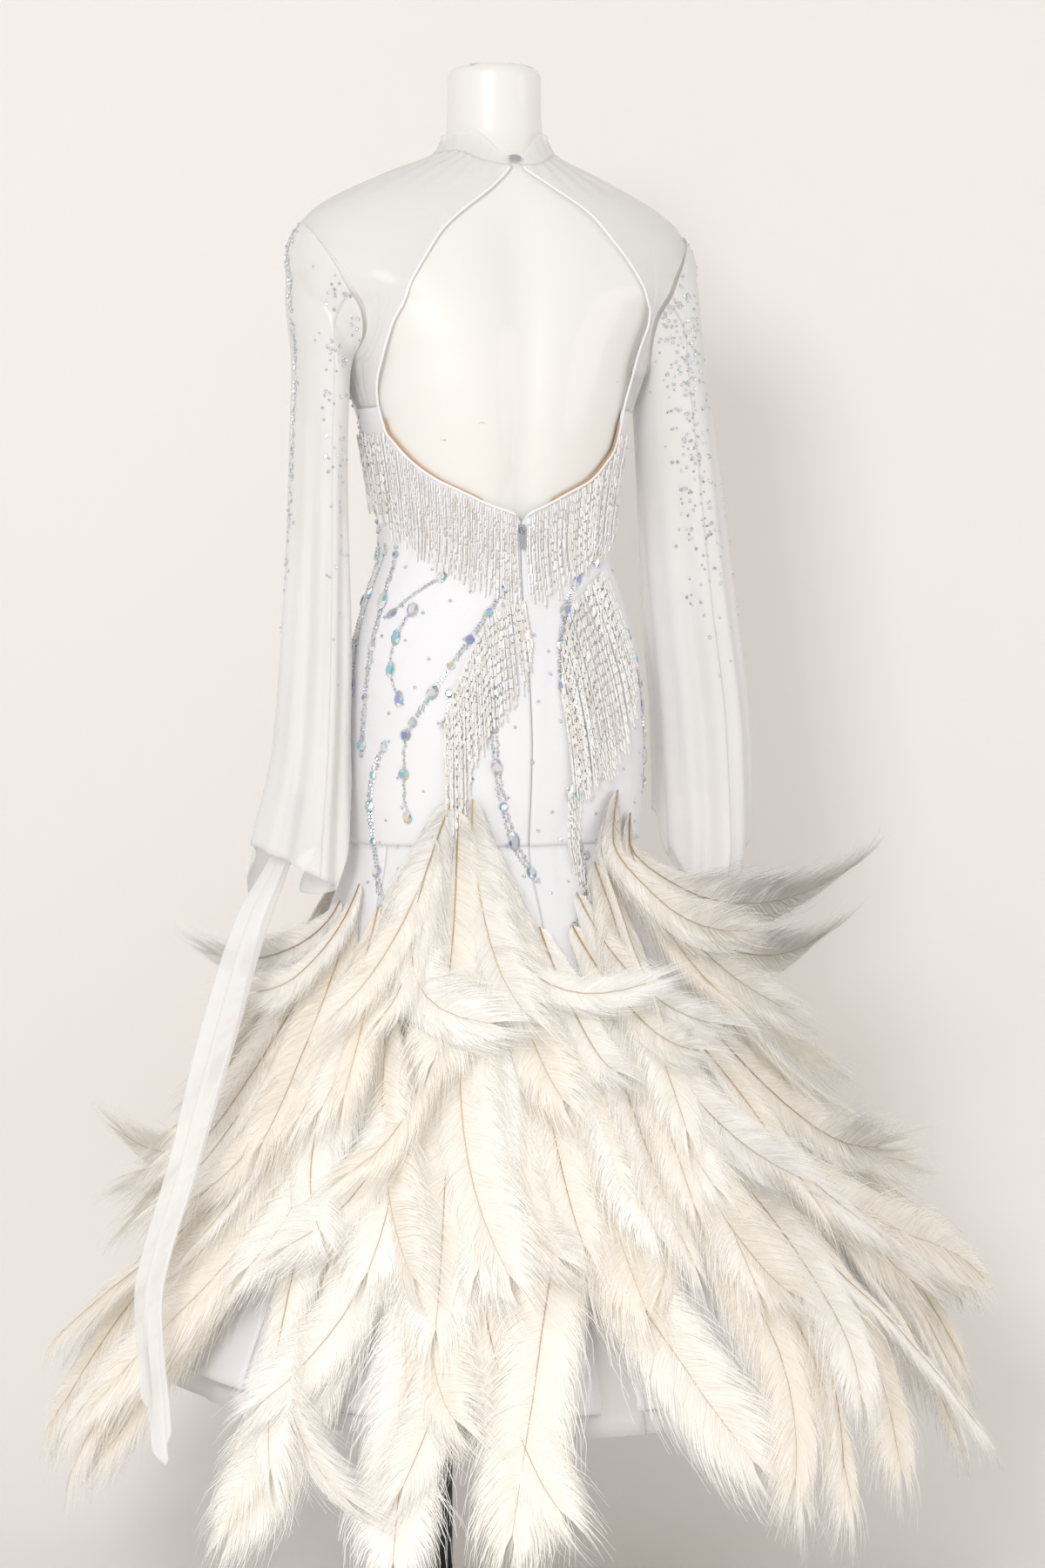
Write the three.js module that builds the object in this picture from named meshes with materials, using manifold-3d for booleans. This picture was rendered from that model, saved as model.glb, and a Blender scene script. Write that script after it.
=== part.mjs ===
// A ballroom dance dress on a limbless dress form, which stands on a pole and a round base.
// Millimetres, +Z up. The origin is the middle of the base's underside, on the torso's axis.
// The wearer faces -Y, so the open back is at +Y, and the wearer's left is at +X.

import * as THREE from 'three';
import { mergeVertices } from 'three/addons/utils/BufferGeometryUtils.js';
import Module from 'manifold-3d';

const wasm = await Module();
wasm.setup();

// ---------------------------------------------------------------- driving dimensions

const SEAM_GAP = 0.3;          // between two pieces sewn edge to edge
const EASE = 2.2;              // between the form and the satin worn on it
const MESH_EASE = 3.8;         // between the form and the mesh, which bridges its hollows
const SATIN = 1.6;             // thickness of the stretch satin with its backing
const MESH = 1.0;              // thickness of the stretch mesh
const NET = 1.0;               // thickness of the stiff net underskirt
const SLEEVE_CLOTH = 1.2;      // thickness of the sleeve's chiffon with its rolled edge
const BINDING = 1.2;           // thickness of the bound edge of the keyhole
const BINDING_WIDTH = 4.5;
const ELASTIC_WIDTH = 2.6;
const BEADS = 5;               // thickness of a hanging row of bugle beads

const BACK = 90;               // angle of the centre back, in degrees from +X
const FLARE_HEIGHT = 850;      // where the skirt starts to leave the hips
const HEM_HEIGHT = 342;
const NET_HEM_HEIGHT = 324;
const SATIN_TOP_HEIGHT = 1290; // where the satin ends under the arms
const COLLAR = { top: 1566, sideFoot: 1544, backFoot: 1530, opening: 3 };
const FOLDS = 10;
const FOLD_DEPTH = 13;

const ARMHOLE = { height: 1400, radius: 66, angle: 35 };
const ZIP_HEIGHT = 1167;

const POLE = { x: 60, radius: 12.5 };
const BASE = { radius: 185, height: 10, edge: 3 };
const FORM_FOOT = 790;

const COLOUR = {
  satin: 0xf3f2f4, mesh: 0xeeecea, form: 0xf6f5f0, plume: 0xf4efe4, beads: 0xe6e4e2,
  metal: 0xc8cbd0, black: 0x201f1d, elastic: 0xcda06e,
};

// A table's rows become objects whose keys are the names of its columns.
function table(columns, rows) {
  return rows.map((row) => Object.fromEntries(columns.map((name, i) => [name, row[i]])));
}

// The form's level sections, an ellipse for each half: half its width, and its depth in front
// of and behind the axis.
const FORM = table(['height', 'side', 'front', 'back'], [
  [1600, 48, 48, 48],
  [1565, 50, 50, 50],
  [1545, 60, 54, 55],
  [1523, 110, 60, 62],
  [1500, 160, 66, 70],
  [1488, 181, 70, 74],
  [1476, 195, 73, 78],
  [1460, 204, 78, 84],
  [1440, 208, 84, 90],
  [1415, 204, 92, 96],
  [1385, 182, 102, 101],
  [1355, 165, 110, 104],
  [1320, 152, 118, 104],
  [1280, 138, 116, 102],
  [1240, 129, 106, 96],
  [1200, 122, 94, 88],
  [1150, 117, 86, 82],
  [1100, 131, 92, 88],
  [1050, 145, 100, 101],
  [1000, 152, 105, 113],
  [950, 154, 106, 118],
  [900, 153, 106, 114],
  [850, 150, 106, 108],
  [790, 146, 104, 104],
]);

// The skirt's sections below the hips. Its middle moves toward the wearer's right, where the
// skirt has been spread out further.
const SKIRT = table(['height', 'side', 'front', 'back', 'shift'], [
  [850, 150, 106, 108, 0],
  [780, 172, 142, 138, -3],
  [700, 205, 176, 172, -8],
  [600, 255, 228, 225, -15],
  [500, 305, 282, 280, -22],
  [420, 350, 328, 328, -28],
  [350, 390, 365, 365, -32],
  [280, 412, 386, 386, -32],
  [200, 422, 396, 396, -32],
]);

// The keyhole opening of the back: how far each edge lies from the centre back, in degrees.
// Its widest rows are where the mesh ends and the satin begins.
const KEYHOLE = table(['height', 'left', 'right'], [
  [1535, 1, 3],
  [1510, 8, 14],
  [1485, 16, 23],
  [1459, 23, 28],
  [1438, 27, 33],
  [1404, 35, 43],
  [1388, 40, 50],
  [1370, 47, 53],
  [1337, 57, 53],
  [1303, 66, 53],
  [1285, 68, 54],
  [1266, 67, 55],
  [1253, 62, 54],
  [1236, 54, 47],
  [1217, 41, 36],
  [1205, 29, 24],
  [1193, 17, 13],
  [1179, 1.5, 1.5],
]);

// The satin's top edge across the front, by degrees from the side seam: two cups with a dip.
const FRONT_EDGE = table(['angle', 'height'], [
  [0, 1290], [12, 1322], [28, 1352], [48, 1374], [66, 1368], [80, 1350], [90, 1338],
]);

// Each tube of a sleeve, level by level: where its middle hangs, and half its width and depth.
const SLEEVE_LEFT = table(['height', 'middle', 'width', 'depth'], [
  [1470, 170, 22, 34],
  [1440, 181, 33, 52],
  [1400, 184, 33, 58],
  [1334, 184, 27, 56],
  [1250, 187, 27, 58],
  [1100, 190, 31, 62],
  [950, 196, 36, 66],
  [850, 206, 48, 76],
  [770, 212, 56, 84],
]);
const SLEEVE_RIGHT = table(['height', 'middle', 'width', 'depth'], [
  [1470, 170, 22, 34],
  [1440, 181, 33, 52],
  [1400, 186, 33, 58],
  [1334, 191, 36, 58],
  [1250, 200, 40, 60],
  [1100, 214, 45, 64],
  [950, 230, 47, 68],
  [850, 232, 44, 74],
  [770, 224, 40, 78],
]);

// A sleeve's hem, by degrees round the tube from its outer side through the back.
const HEM_LEFT = table(['angle', 'height'], [
  [0, 850], [50, 838], [110, 815], [180, 800], [230, 840], [300, 790], [360, 850],
]);
const HEM_RIGHT = table(['angle', 'height'], [
  [0, 862], [60, 820], [110, 788], [160, 800], [220, 870], [300, 888], [360, 862],
]);

// The long sheer float at the wearer's left, from inside the sleeve down over the plumes.
const FLOAT = table(['height', 'x', 'y', 'half', 'fold'], [
  [900, 212, 10, 22, 4],
  [840, 228, 16, 26, 5],
  [780, 262, 42, 34, 8],
  [690, 300, 80, 34, 8],
  [560, 352, 118, 26, 7],
  [430, 398, 180, 22, 6],
  [300, 404, 256, 20, 5],
]);

// The beaded fringe of the waist: its top and its lower edge, by degrees from the centre back.
const WAIST_FRINGE_LEFT = table(['angle', 'top', 'bottom'], [
  [4, 1176, 1088], [15, 1187, 1105], [28, 1200, 1116], [40, 1212, 1124], [47, 1220, 1138],
  [58, 1238, 1147], [67, 1262, 1162], [78, 1268, 1178], [90, 1268, 1190], [110, 1268, 1192],
]);
const WAIST_FRINGE_RIGHT = table(['angle', 'top', 'bottom'], [
  [4, 1178, 1094], [16, 1190, 1102], [29, 1205, 1119], [38, 1214, 1130], [46, 1230, 1141],
  [54, 1248, 1147], [62, 1262, 1152], [78, 1266, 1160], [90, 1266, 1168], [110, 1266, 1172],
]);

// The fringes that hang from slanting lines over the hips: the point each strand hangs from,
// and the point it reaches.
const HIP_FRINGE_LEFT = table(['angle', 'height', 'endAngle', 'endHeight'], [
  [84, 1086, 92, 1040], [76, 1078, 89, 1018], [70, 1056, 82, 990], [65, 1028, 73, 958],
  [60, 1001, 67, 928], [57, 966, 61, 908],
]);
const HIP_FRINGE_RIGHT = table(['angle', 'height', 'endAngle', 'endHeight'], [
  [136, 1116, 147, 1026], [126, 1109, 137, 956], [114, 1092, 125, 922], [105, 1052, 115, 906],
  [102, 1000, 108, 908],
]);
const TAIL_FRINGE_RIGHT = table(['angle', 'height', 'endAngle', 'endHeight'], [
  [104.5, 900, 108, 765], [109, 900, 110, 765],
]);

// Where the highest plumes are sewn on, by degrees from +X: a zigzag round the hips.
const PLUME_ROOTS = table(['angle', 'height'], [
  [-90, 742], [-50, 896], [-18, 800], [16, 796], [30, 822], [67, 901], [94, 742], [132, 906],
  [162, 800], [198, 800], [230, 896], [270, 742],
]);

// Each tier of plumes: its top and foot, how far its inner side stands off the skirt at the
// foot, and its thickness at the top and at the foot.
const TIERS = table(['name', 'top', 'foot', 'lift', 'rootThickness', 'tipThickness'], [
  ['upper', 906, 610, 44, 6, 20],
  ['middle', 700, 420, 42, 6, 20],
  ['lower', 520, 240, 24, 6, 24],
]);
const ROOT_LIFT = 3;

// ---------------------------------------------------------------- curves through the tables

// A smooth curve through a table's rows that never overshoots them.
function smoothCurve(rows, key, column) {
  const points = rows.map((row) => [row[key], row[column] ?? 0]).sort((p, q) => p[0] - q[0]);
  const last = points.length - 1;
  const step = (i) => (points[i + 1][1] - points[i][1]) / (points[i + 1][0] - points[i][0]);
  const slope = points.map((_, i) => {
    if (i === 0 || i === last) return 0;
    const [before, after] = [step(i - 1), step(i)];
    return before * after <= 0 ? 0 : (2 * before * after) / (before + after);
  });
  return (x) => {
    if (x <= points[0][0]) return points[0][1];
    if (x >= points[last][0]) return points[last][1];
    let i = 0;
    while (points[i + 1][0] < x) i += 1;
    const width = points[i + 1][0] - points[i][0];
    const t = (x - points[i][0]) / width;
    const [h00, h10] = [(1 + 2 * t) * (1 - t) ** 2, t * (1 - t) ** 2];
    const [h01, h11] = [t * t * (3 - 2 * t), t * t * (t - 1)];
    return h00 * points[i][1] + h10 * width * slope[i]
      + h01 * points[i + 1][1] + h11 * width * slope[i + 1];
  };
}

const radians = THREE.MathUtils.degToRad;
const wrapped = (angle) => THREE.MathUtils.euclideanModulo(angle + 90, 360) - 90;
const mix = THREE.MathUtils.lerp;
const smoothstep = THREE.MathUtils.smoothstep;

const GARMENT = [...FORM.filter((row) => row.height > FLARE_HEIGHT), ...SKIRT];
const columnCurves = (rows) => Object.fromEntries(['side', 'front', 'back', 'shift']
  .map((name) => [name, smoothCurve(rows, 'height', name)]));

// The front has a soft cup on each side, a bulge of the front depth. The cloth's is fuller.
const CUP = { x: 74, height: 1312, formRise: 5, clothRise: 9, width: 50, tall: 56 };

const formCurves = { ...columnCurves(FORM), cup: CUP.formRise };
const garmentCurves = { ...columnCurves(GARMENT), cup: CUP.clothRise };

function cupRise(rise, x, height) {
  const across = (Math.abs(x) - CUP.x) / CUP.width;
  const along = (height - CUP.height) / CUP.tall;
  return rise * Math.exp(-across * across - along * along);
}

// A point of the level sections, at an angle in degrees.
function sectionPoint(curves, angle, height) {
  const [c, s] = [Math.cos(radians(angle)), Math.sin(radians(angle))];
  const x = curves.shift(height) + curves.side(height) * c;
  const depth = s > 0 ? curves.back(height) : curves.front(height);
  const cup = s < 0 ? -s * cupRise(curves.cup, x, height) : 0;
  return new THREE.Vector3(x, (depth + cup) * s, height);
}

// The same point moved out by a distance, square to the surface.
function offsetPoint(curves, angle, height, distance) {
  const d = 0.5;
  const point = sectionPoint(curves, angle, height);
  const across = sectionPoint(curves, angle + d, height).sub(sectionPoint(curves, angle - d, height));
  const along = sectionPoint(curves, angle, height + d).sub(sectionPoint(curves, angle, height - d));
  return point.addScaledVector(across.cross(along).normalize(), distance);
}

// Degrees that make a given distance round a section.
function degreesFor(distance, angle, height) {
  const d = 0.5;
  const arc = sectionPoint(garmentCurves, angle + d, height)
    .distanceTo(sectionPoint(garmentCurves, angle - d, height));
  return distance / arc;
}

// The skirt's folds: none on the hips, deepest at the hem, and uneven round it.
function foldWave(angle, height) {
  const grown = smoothstep(FLARE_HEIGHT - height, 0, FLARE_HEIGHT - HEM_HEIGHT);
  const wave = 0.75 * Math.cos(radians(FOLDS * angle + 40)) + 0.25 * Math.cos(radians(7 * angle - 25));
  return FOLD_DEPTH * grown * wave;
}

const onForm = (angle, height, distance) => offsetPoint(formCurves, angle, height, distance);
const onGarment = (angle, height, distance) => offsetPoint(garmentCurves, angle, height, distance);
const onSkirt = (angle, height, distance) => (
  onGarment(angle, height, EASE + foldWave(angle, height) + distance));

const keyholeLeft = smoothCurve(KEYHOLE, 'height', 'left');
const keyholeRight = smoothCurve(KEYHOLE, 'height', 'right');
const frontEdge = smoothCurve(FRONT_EDGE, 'angle', 'height');
const plumeRoot = smoothCurve(PLUME_ROOTS, 'angle', 'height');

// How far round from the side the armhole reaches at a height.
function armholeAngle(height) {
  const t = (height - ARMHOLE.height) / ARMHOLE.radius;
  return Math.abs(t) < 1 ? ARMHOLE.angle * Math.sqrt(1 - t * t) : 0;
}

// ---------------------------------------------------------------- ways of making a solid

const dress = new THREE.Group();

function add(name, geometry, colour, roughness = 0.7, metalness = 0) {
  const material = new THREE.MeshStandardMaterial({ color: colour, roughness, metalness });
  const mesh = new THREE.Mesh(geometry, material);
  mesh.name = name;
  dress.add(mesh);
  return mesh;
}

// Turns a geometry's faces round if they point inwards.
function facingOut(geometry) {
  for (const name of ['normal', 'uv']) geometry.deleteAttribute(name);
  const merged = mergeVertices(geometry, 1e-3);
  const position = merged.getAttribute('position');
  const index = merged.getIndex();
  const [a, b, c] = [new THREE.Vector3(), new THREE.Vector3(), new THREE.Vector3()];
  let volume = 0;
  for (let i = 0; i < index.count; i += 3) {
    a.fromBufferAttribute(position, index.getX(i));
    b.fromBufferAttribute(position, index.getX(i + 1));
    c.fromBufferAttribute(position, index.getX(i + 2));
    volume += a.dot(b.cross(c));
  }
  if (volume < 0) {
    for (let i = 0; i < index.count; i += 3) {
      const first = index.getX(i);
      index.setX(i, index.getX(i + 1));
      index.setX(i + 1, first);
    }
  }
  merged.computeVertexNormals();
  return merged;
}

// Splits the box's inner face along the same diagonals as its outer one. Where the cloth twists,
// the two would otherwise cross.
function matchDiagonals(geometry) {
  const index = geometry.getIndex();
  const inner = geometry.groups[5];
  for (let i = inner.start; i < inner.start + inner.count; i += 6) {
    const [a, b, d, c] = [0, 1, 2, 4].map((k) => index.getX(i + k));
    [a, b, c, a, c, d].forEach((vertex, k) => index.setX(i + k, vertex));
  }
}

// A closed wall: place(u, v, side) puts a point of its inner (0) or outer (1) face.
function wall(columns, rows, place) {
  const geometry = new THREE.BoxGeometry(1, 1, 1, columns, rows, 1);
  matchDiagonals(geometry);
  const position = geometry.getAttribute('position');
  for (let i = 0; i < position.count; i += 1) {
    const point = place(position.getX(i) + 0.5, 0.5 - position.getY(i), position.getZ(i) + 0.5);
    position.setXYZ(i, point.x, point.y, point.z);
  }
  return facingOut(geometry);
}

// A round solid whose every ring is shaped by place(angle, height, share of the ring's size).
function turned(profile, segments, place) {
  const points = profile.map(([share, height]) => new THREE.Vector2(share, height));
  const geometry = new THREE.LatheGeometry(points, segments);
  const position = geometry.getAttribute('position');
  for (let i = 0; i < position.count; i += 1) {
    const [x, y] = [position.getX(i), -position.getZ(i)];
    const point = place(Math.atan2(y, x), position.getY(i), Math.hypot(x, y));
    position.setXYZ(i, point.x, point.y, point.z);
  }
  return facingOut(geometry);
}

// ---------------------------------------------------------------- the form and its stand

const NECK_TOP = { height: 1636, round: 12 };
const FORM_RINGS = [[790, 1380, 26], [1380, 1600, 13]];    // from, to and between the rings

function formGeometry() {
  const body = [];
  for (const [from, to, step] of FORM_RINGS) {
    for (let height = from; height < to; height += step) body.push([1, height]);
  }
  const neck = [0.98, 0.9, 0.74].map((share, i) => (
    [share, NECK_TOP.height - NECK_TOP.round + (i + 1) * 4 - i]));
  const profile = [[0, FORM_FOOT], ...body, [1, NECK_TOP.height - NECK_TOP.round], ...neck,
    [0, NECK_TOP.height]];
  return turned(profile, 32, (angle, height, share) => {
    const point = sectionPoint(formCurves, THREE.MathUtils.radToDeg(angle), height);
    return new THREE.Vector3(point.x * share, point.y * share, height);
  });
}

function turnedAt(x, profile, segments) {
  return turned(profile, segments, (angle, height, radius) => (
    new THREE.Vector3(x + radius * Math.cos(angle), radius * Math.sin(angle), height)));
}

function addForm() {
  add('form_torso', formGeometry(), COLOUR.form, 0.2);
  const [foot, head] = [BASE.height + SEAM_GAP, FORM_FOOT - SEAM_GAP];
  const pole = [[0, foot], [POLE.radius, foot], [POLE.radius, head], [0, head]];
  add('stand_pole', turnedAt(POLE.x, pole, 24), COLOUR.black, 0.4, 0.5);
  const { radius, height, edge } = BASE;
  const base = [[0, 0], [radius, 0], [radius, height - edge], [radius - edge, height], [0, height]];
  add('stand_base', turnedAt(0, base, 48), COLOUR.black, 0.4, 0.5);
}

// ---------------------------------------------------------------- the fitted satin panels

// Half of the front: from the side seam to the seam of the centre front, up to the top of its cup.
function frontPanel(sign) {
  return wall(8, 12, (u, v, side) => {
    const height = mix(frontEdge(90 * u), FLARE_HEIGHT, v);
    const outer = degreesFor(SEAM_GAP / 2, 0, height);
    const inner = 90 - degreesFor(SEAM_GAP / 2, BACK, height);
    return onGarment(-BACK + sign * (90 - mix(outer, inner, u)), height, EASE + SATIN * side);
  });
}

// The rows that follow the lower edge of the keyhole, and those from its foot to the hips.
const [V_ROWS, HIP_ROWS] = [9, 8];
const OPENING_FOOT = 1177;
const openingHeight = (row) => mix(SATIN_TOP_HEIGHT, OPENING_FOOT, row / V_ROWS);

// Half of the back: from the side seam to the edge of the keyhole, and below it to the seam
// of the centre back.
function backPanel(sign, keyhole) {
  return wall(9, V_ROWS + HIP_ROWS, (u, v, side) => {
    const row = v * (V_ROWS + HIP_ROWS);
    const height = row < V_ROWS
      ? openingHeight(row) : mix(OPENING_FOOT, FLARE_HEIGHT, (row - V_ROWS) / HIP_ROWS);
    const edge = height > OPENING_FOOT ? keyhole(height) : 0;
    const inner = Math.max(edge, degreesFor(SEAM_GAP / 2, BACK, height));
    const outer = 90 - degreesFor(SEAM_GAP / 2, 0, height);
    return onGarment(BACK - sign * mix(inner, outer, u), height, EASE + SATIN * side);
  });
}

function addPanels() {
  add('panel_front_left', frontPanel(1), COLOUR.satin);
  add('panel_front_right', frontPanel(-1), COLOUR.satin);
  add('panel_back_left', backPanel(1, keyholeLeft), COLOUR.satin);
  add('panel_back_right', backPanel(-1, keyholeRight), COLOUR.satin);
}

// ---------------------------------------------------------------- the skirt and its net

const GORES = table(['name', 'from', 'to'], [
  ['back_left', 30, 90], ['back_right', 90, 150], ['side_right', 150, 210],
  ['front_right', 210, 270], ['front_left', 270, 330], ['side_left', 330, 390],
]);
const GORE_TOP_GAP = 0.4;

function gore(from, to) {
  return wall(8, 5, (u, v, side) => {
    const height = mix(FLARE_HEIGHT - GORE_TOP_GAP, HEM_HEIGHT, v ** 1.35);
    const start = from + degreesFor(SEAM_GAP / 2, from, height);
    const end = to - degreesFor(SEAM_GAP / 2, to, height);
    return onSkirt(mix(start, end, u), height, SATIN * side);
  });
}

// The net hangs from inside the skirt in four widths, further in toward the hem, and shows
// below it.
const NET_TOP_HEIGHT = 640;
const NET_DROP_IN = 12;
const QUARTERS = table(['name', 'from'], [
  ['back_left', 0], ['back_right', 90], ['front_right', 180], ['front_left', 270],
]);

function netGeometry(from) {
  return wall(12, 2, (u, v, side) => {
    const height = mix(NET_TOP_HEIGHT, NET_HEM_HEIGHT, v);
    const inset = mix(0.9, NET_DROP_IN, v);
    const start = from + degreesFor(SEAM_GAP / 2, from, height);
    const end = from + 90 - degreesFor(SEAM_GAP / 2, from + 90, height);
    return onSkirt(mix(start, end, u), height, -inset - NET * side);
  });
}

function addSkirt() {
  for (const { name, from, to } of GORES) add(`skirt_${name}`, gore(from, to), COLOUR.satin);
  for (const { name, from } of QUARTERS) add(`petticoat_${name}`, netGeometry(from), COLOUR.mesh);
}

// ---------------------------------------------------------------- yoke, collar and clasp

const YOKE_GAP = 1.2;

// The height where the collar stops: lowest at the nape, where its ends meet.
function collarFoot(angle) {
  const fromBack = Math.abs(wrapped(angle) - BACK);
  return mix(COLLAR.backFoot, COLLAR.sideFoot, smoothstep(fromBack, 5, 60));
}

// The mesh behind each shoulder, from the keyhole to the armhole and the shoulder line.
function yokeBack(sign, keyhole) {
  return wall(8, 14, (u, v, side) => {
    const top = collarFoot(BACK - sign * mix(4, 90, u)) - YOKE_GAP;
    const height = mix(top, SATIN_TOP_HEIGHT + YOKE_GAP, v ** 1.1);
    const outer = 90 - armholeAngle(height) - degreesFor(SEAM_GAP / 2, 0, height);
    return onGarment(BACK - sign * mix(keyhole(height), outer, u), height, MESH_EASE + MESH * side);
  });
}

// The mesh across the front, from the satin's cups to the collar, with both armholes cut out.
function yokeFront() {
  return wall(16, 26, (u, v, side) => {
    const fromSide = 90 - Math.abs(90 - 180 * u);
    const down = v ** 1.15;
    // Beside the armhole the rows stay level, and they rise to the cups only farther in.
    const rise = mix(smoothstep(fromSide, 8, 40), 1, smoothstep(down, 0.8, 1));
    const height = mix(collarFoot(-180 * u) - YOKE_GAP, frontEdge(0) + YOKE_GAP, down)
      + (frontEdge(fromSide) - frontEdge(0)) * down * rise;
    const sideHeight = mix(collarFoot(0) - YOKE_GAP, frontEdge(0) + YOKE_GAP, down);
    const inset = armholeAngle(sideHeight) + degreesFor(SEAM_GAP / 2, 0, height);
    return onGarment(-mix(inset, 180 - inset, u), height, MESH_EASE + MESH * side);
  });
}

function collarGeometry() {
  return wall(24, 2, (u, v, side) => {
    const angle = mix(BACK + COLLAR.opening, BACK + 360 - COLLAR.opening, u);
    const height = mix(COLLAR.top, collarFoot(angle), v);
    return onGarment(angle, height, MESH_EASE + 1.5 * MESH * side);
  });
}

// The clasp is a small jewelled bar that lies over the collar's two ends.
const CLASP = { width: 15, tall: 7, depth: 3.2, height: 1535 };

function claspGeometry() {
  const outline = new THREE.Shape();
  outline.absellipse(0, 0, CLASP.width / 2, CLASP.tall / 2, 0, 2 * Math.PI);
  const geometry = new THREE.ExtrudeGeometry(outline, {
    depth: CLASP.depth - 1.6, curveSegments: 7, bevelThickness: 0.8, bevelSize: 0.8,
    bevelOffset: -0.8, bevelSegments: 2,
  });
  const seat = onGarment(BACK, CLASP.height, MESH_EASE + 1.5 * MESH + SEAM_GAP + 1.8);
  geometry.rotateX(-Math.PI / 2 - 0.25);
  geometry.translate(seat.x, seat.y, seat.z);
  return facingOut(geometry);
}

function addYoke() {
  add('yoke_back_left', yokeBack(1, keyholeLeft), COLOUR.mesh);
  add('yoke_back_right', yokeBack(-1, keyholeRight), COLOUR.mesh);
  add('yoke_front', yokeFront(), COLOUR.mesh);
  add('collar', collarGeometry(), COLOUR.mesh);
  add('neck_clasp', claspGeometry(), COLOUR.metal, 0.25, 1);
}

// ---------------------------------------------------------------- edges of the keyhole

const EDGE_CLEAR = 1.6;

// The white binding lies on the mesh and the satin, along the keyhole's edge.
function edgeBinding(sign, keyhole) {
  return wall(1, 22, (u, v, side) => {
    const height = mix(COLLAR.backFoot - 2, OPENING_FOOT + 5, v);
    const start = keyhole(height);
    const angle = start + degreesFor(BINDING_WIDTH, BACK - sign * start, height) * u;
    return onGarment(BACK - sign * angle, height, EASE + SATIN + EDGE_CLEAR + BINDING * side);
  });
}

// The tan elastic peeps out inside the lower edge, between the satin and the form.
function elastic(sign, keyhole) {
  return wall(1, V_ROWS - 3, (u, v, side) => {
    const height = openingHeight(1 + v * (V_ROWS - 3));
    const start = keyhole(height);
    const rim = BACK - sign * start;
    const [near, far] = [2 * SEAM_GAP, ELASTIC_WIDTH].map((d) => degreesFor(d, rim, height));
    return onGarment(BACK - sign * (start - mix(near, far, u)), height, EASE + SATIN * side);
  });
}

function addEdges() {
  add('edge_left', edgeBinding(1, keyholeLeft), COLOUR.satin);
  add('edge_right', edgeBinding(-1, keyholeRight), COLOUR.satin);
  add('elastic_left', elastic(1, keyholeLeft), COLOUR.elastic);
  add('elastic_right', elastic(-1, keyholeRight), COLOUR.elastic);
}

// ---------------------------------------------------------------- sleeves and float

// How far the worn cloth and the plumes stand out at a height, for what hangs beside them.
function hangingClearance(height) {
  return 5 + 32 * smoothstep(-height, -930, -800);
}

// Moves a point out to the given distance from the garment's level section.
function keptOutside(point, distance) {
  const shift = garmentCurves.shift(point.z);
  const depth = point.y > 0 ? garmentCurves.back(point.z) : garmentCurves.front(point.z);
  const [a, b] = [garmentCurves.side(point.z) + distance, depth + distance];
  const reach = Math.hypot((point.x - shift) / a, point.y / b);
  if (reach >= 1 || reach === 0) return point;
  return new THREE.Vector3(shift + (point.x - shift) / reach, point.y / reach, point.z);
}

const SLEEVE_CLEAR = 1.2;
const SLEEVE_SEAM = 1;              // degrees of the tube left open at each seam
const SLEEVE_LEAVES_BODY = 0.06;    // share of the sleeve that turns from the armhole to its tube

// A sleeve starts on the armhole's curve and hangs as an open tube with soft folds. It is cut as
// a top sleeve and an under sleeve, each a half of the tube, and the cloth lies on both sides of
// that surface, square to the tube.
function sleeveGeometry(sign, sections, hem, from) {
  const [middle, width, depth] = ['middle', 'width', 'depth']
    .map((name) => smoothCurve(sections, 'height', name));
  const hemHeight = smoothCurve(hem, 'angle', 'height');
  return wall(8, 9, (u, v, side) => {
    const degrees = mix(from + SLEEVE_SEAM / 2, from + 180 - SLEEVE_SEAM / 2, u);
    const [c, s] = [Math.cos(radians(degrees)), Math.sin(radians(degrees))];
    const top = ARMHOLE.height + (ARMHOLE.radius + 3) * c;
    const down = v ** 1.15;
    const height = mix(top, hemHeight((degrees + 360) % 360), down);
    const out = MESH_EASE + MESH + SLEEVE_CLOTH + SLEEVE_CLEAR;
    const start = onGarment((ARMHOLE.angle - 2) * s, top, out);
    const ripple = 1 + 0.1 * Math.sin(radians(5 * degrees + 34)) * smoothstep(down, 0.15, 0.7);
    const hanging = new THREE.Vector3(
      middle(height) + width(height) * ripple * c,
      depth(height) * ripple * s,
      height,
    );
    const turn = smoothstep(down, 0, SLEEVE_LEAVES_BODY);
    const clear = mix(out, out + hangingClearance(height), turn);
    const point = keptOutside(start.lerp(hanging, turn), clear);
    const through = SLEEVE_CLOTH * (side - 0.5);
    return new THREE.Vector3(sign * (point.x + through * c), point.y + through * s, point.z);
  });
}

const floatCurve = Object.fromEntries(['x', 'y', 'half', 'fold']
  .map((name) => [name, smoothCurve(FLOAT, 'height', name)]));

function floatGeometry() {
  const [top, foot] = [FLOAT[0].height, FLOAT[FLOAT.length - 1].height];
  return wall(6, 9, (u, v, side) => {
    const height = mix(top, foot, v);
    const [x, y] = [floatCurve.x(height), floatCurve.y(height)];
    const out = new THREE.Vector2(x, y).normalize();
    const across = mix(-1, 1, u) * floatCurve.half(height);
    const lift = floatCurve.fold(height) * Math.cos(radians(540 * u)) + SLEEVE_CLOTH * side;
    return new THREE.Vector3(x - out.y * across + out.x * lift,
      y + out.x * across + out.y * lift, height);
  });
}

function addSleeves() {
  for (const [side, sign, sections, hem] of [
    ['left', 1, SLEEVE_LEFT, HEM_LEFT], ['right', -1, SLEEVE_RIGHT, HEM_RIGHT],
  ]) {
    add(`sleeve_${side}_top`, sleeveGeometry(sign, sections, hem, -90), COLOUR.mesh);
    add(`sleeve_${side}_under`, sleeveGeometry(sign, sections, hem, 90), COLOUR.mesh);
  }
  add('float_left', floatGeometry(), COLOUR.mesh);
}

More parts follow.
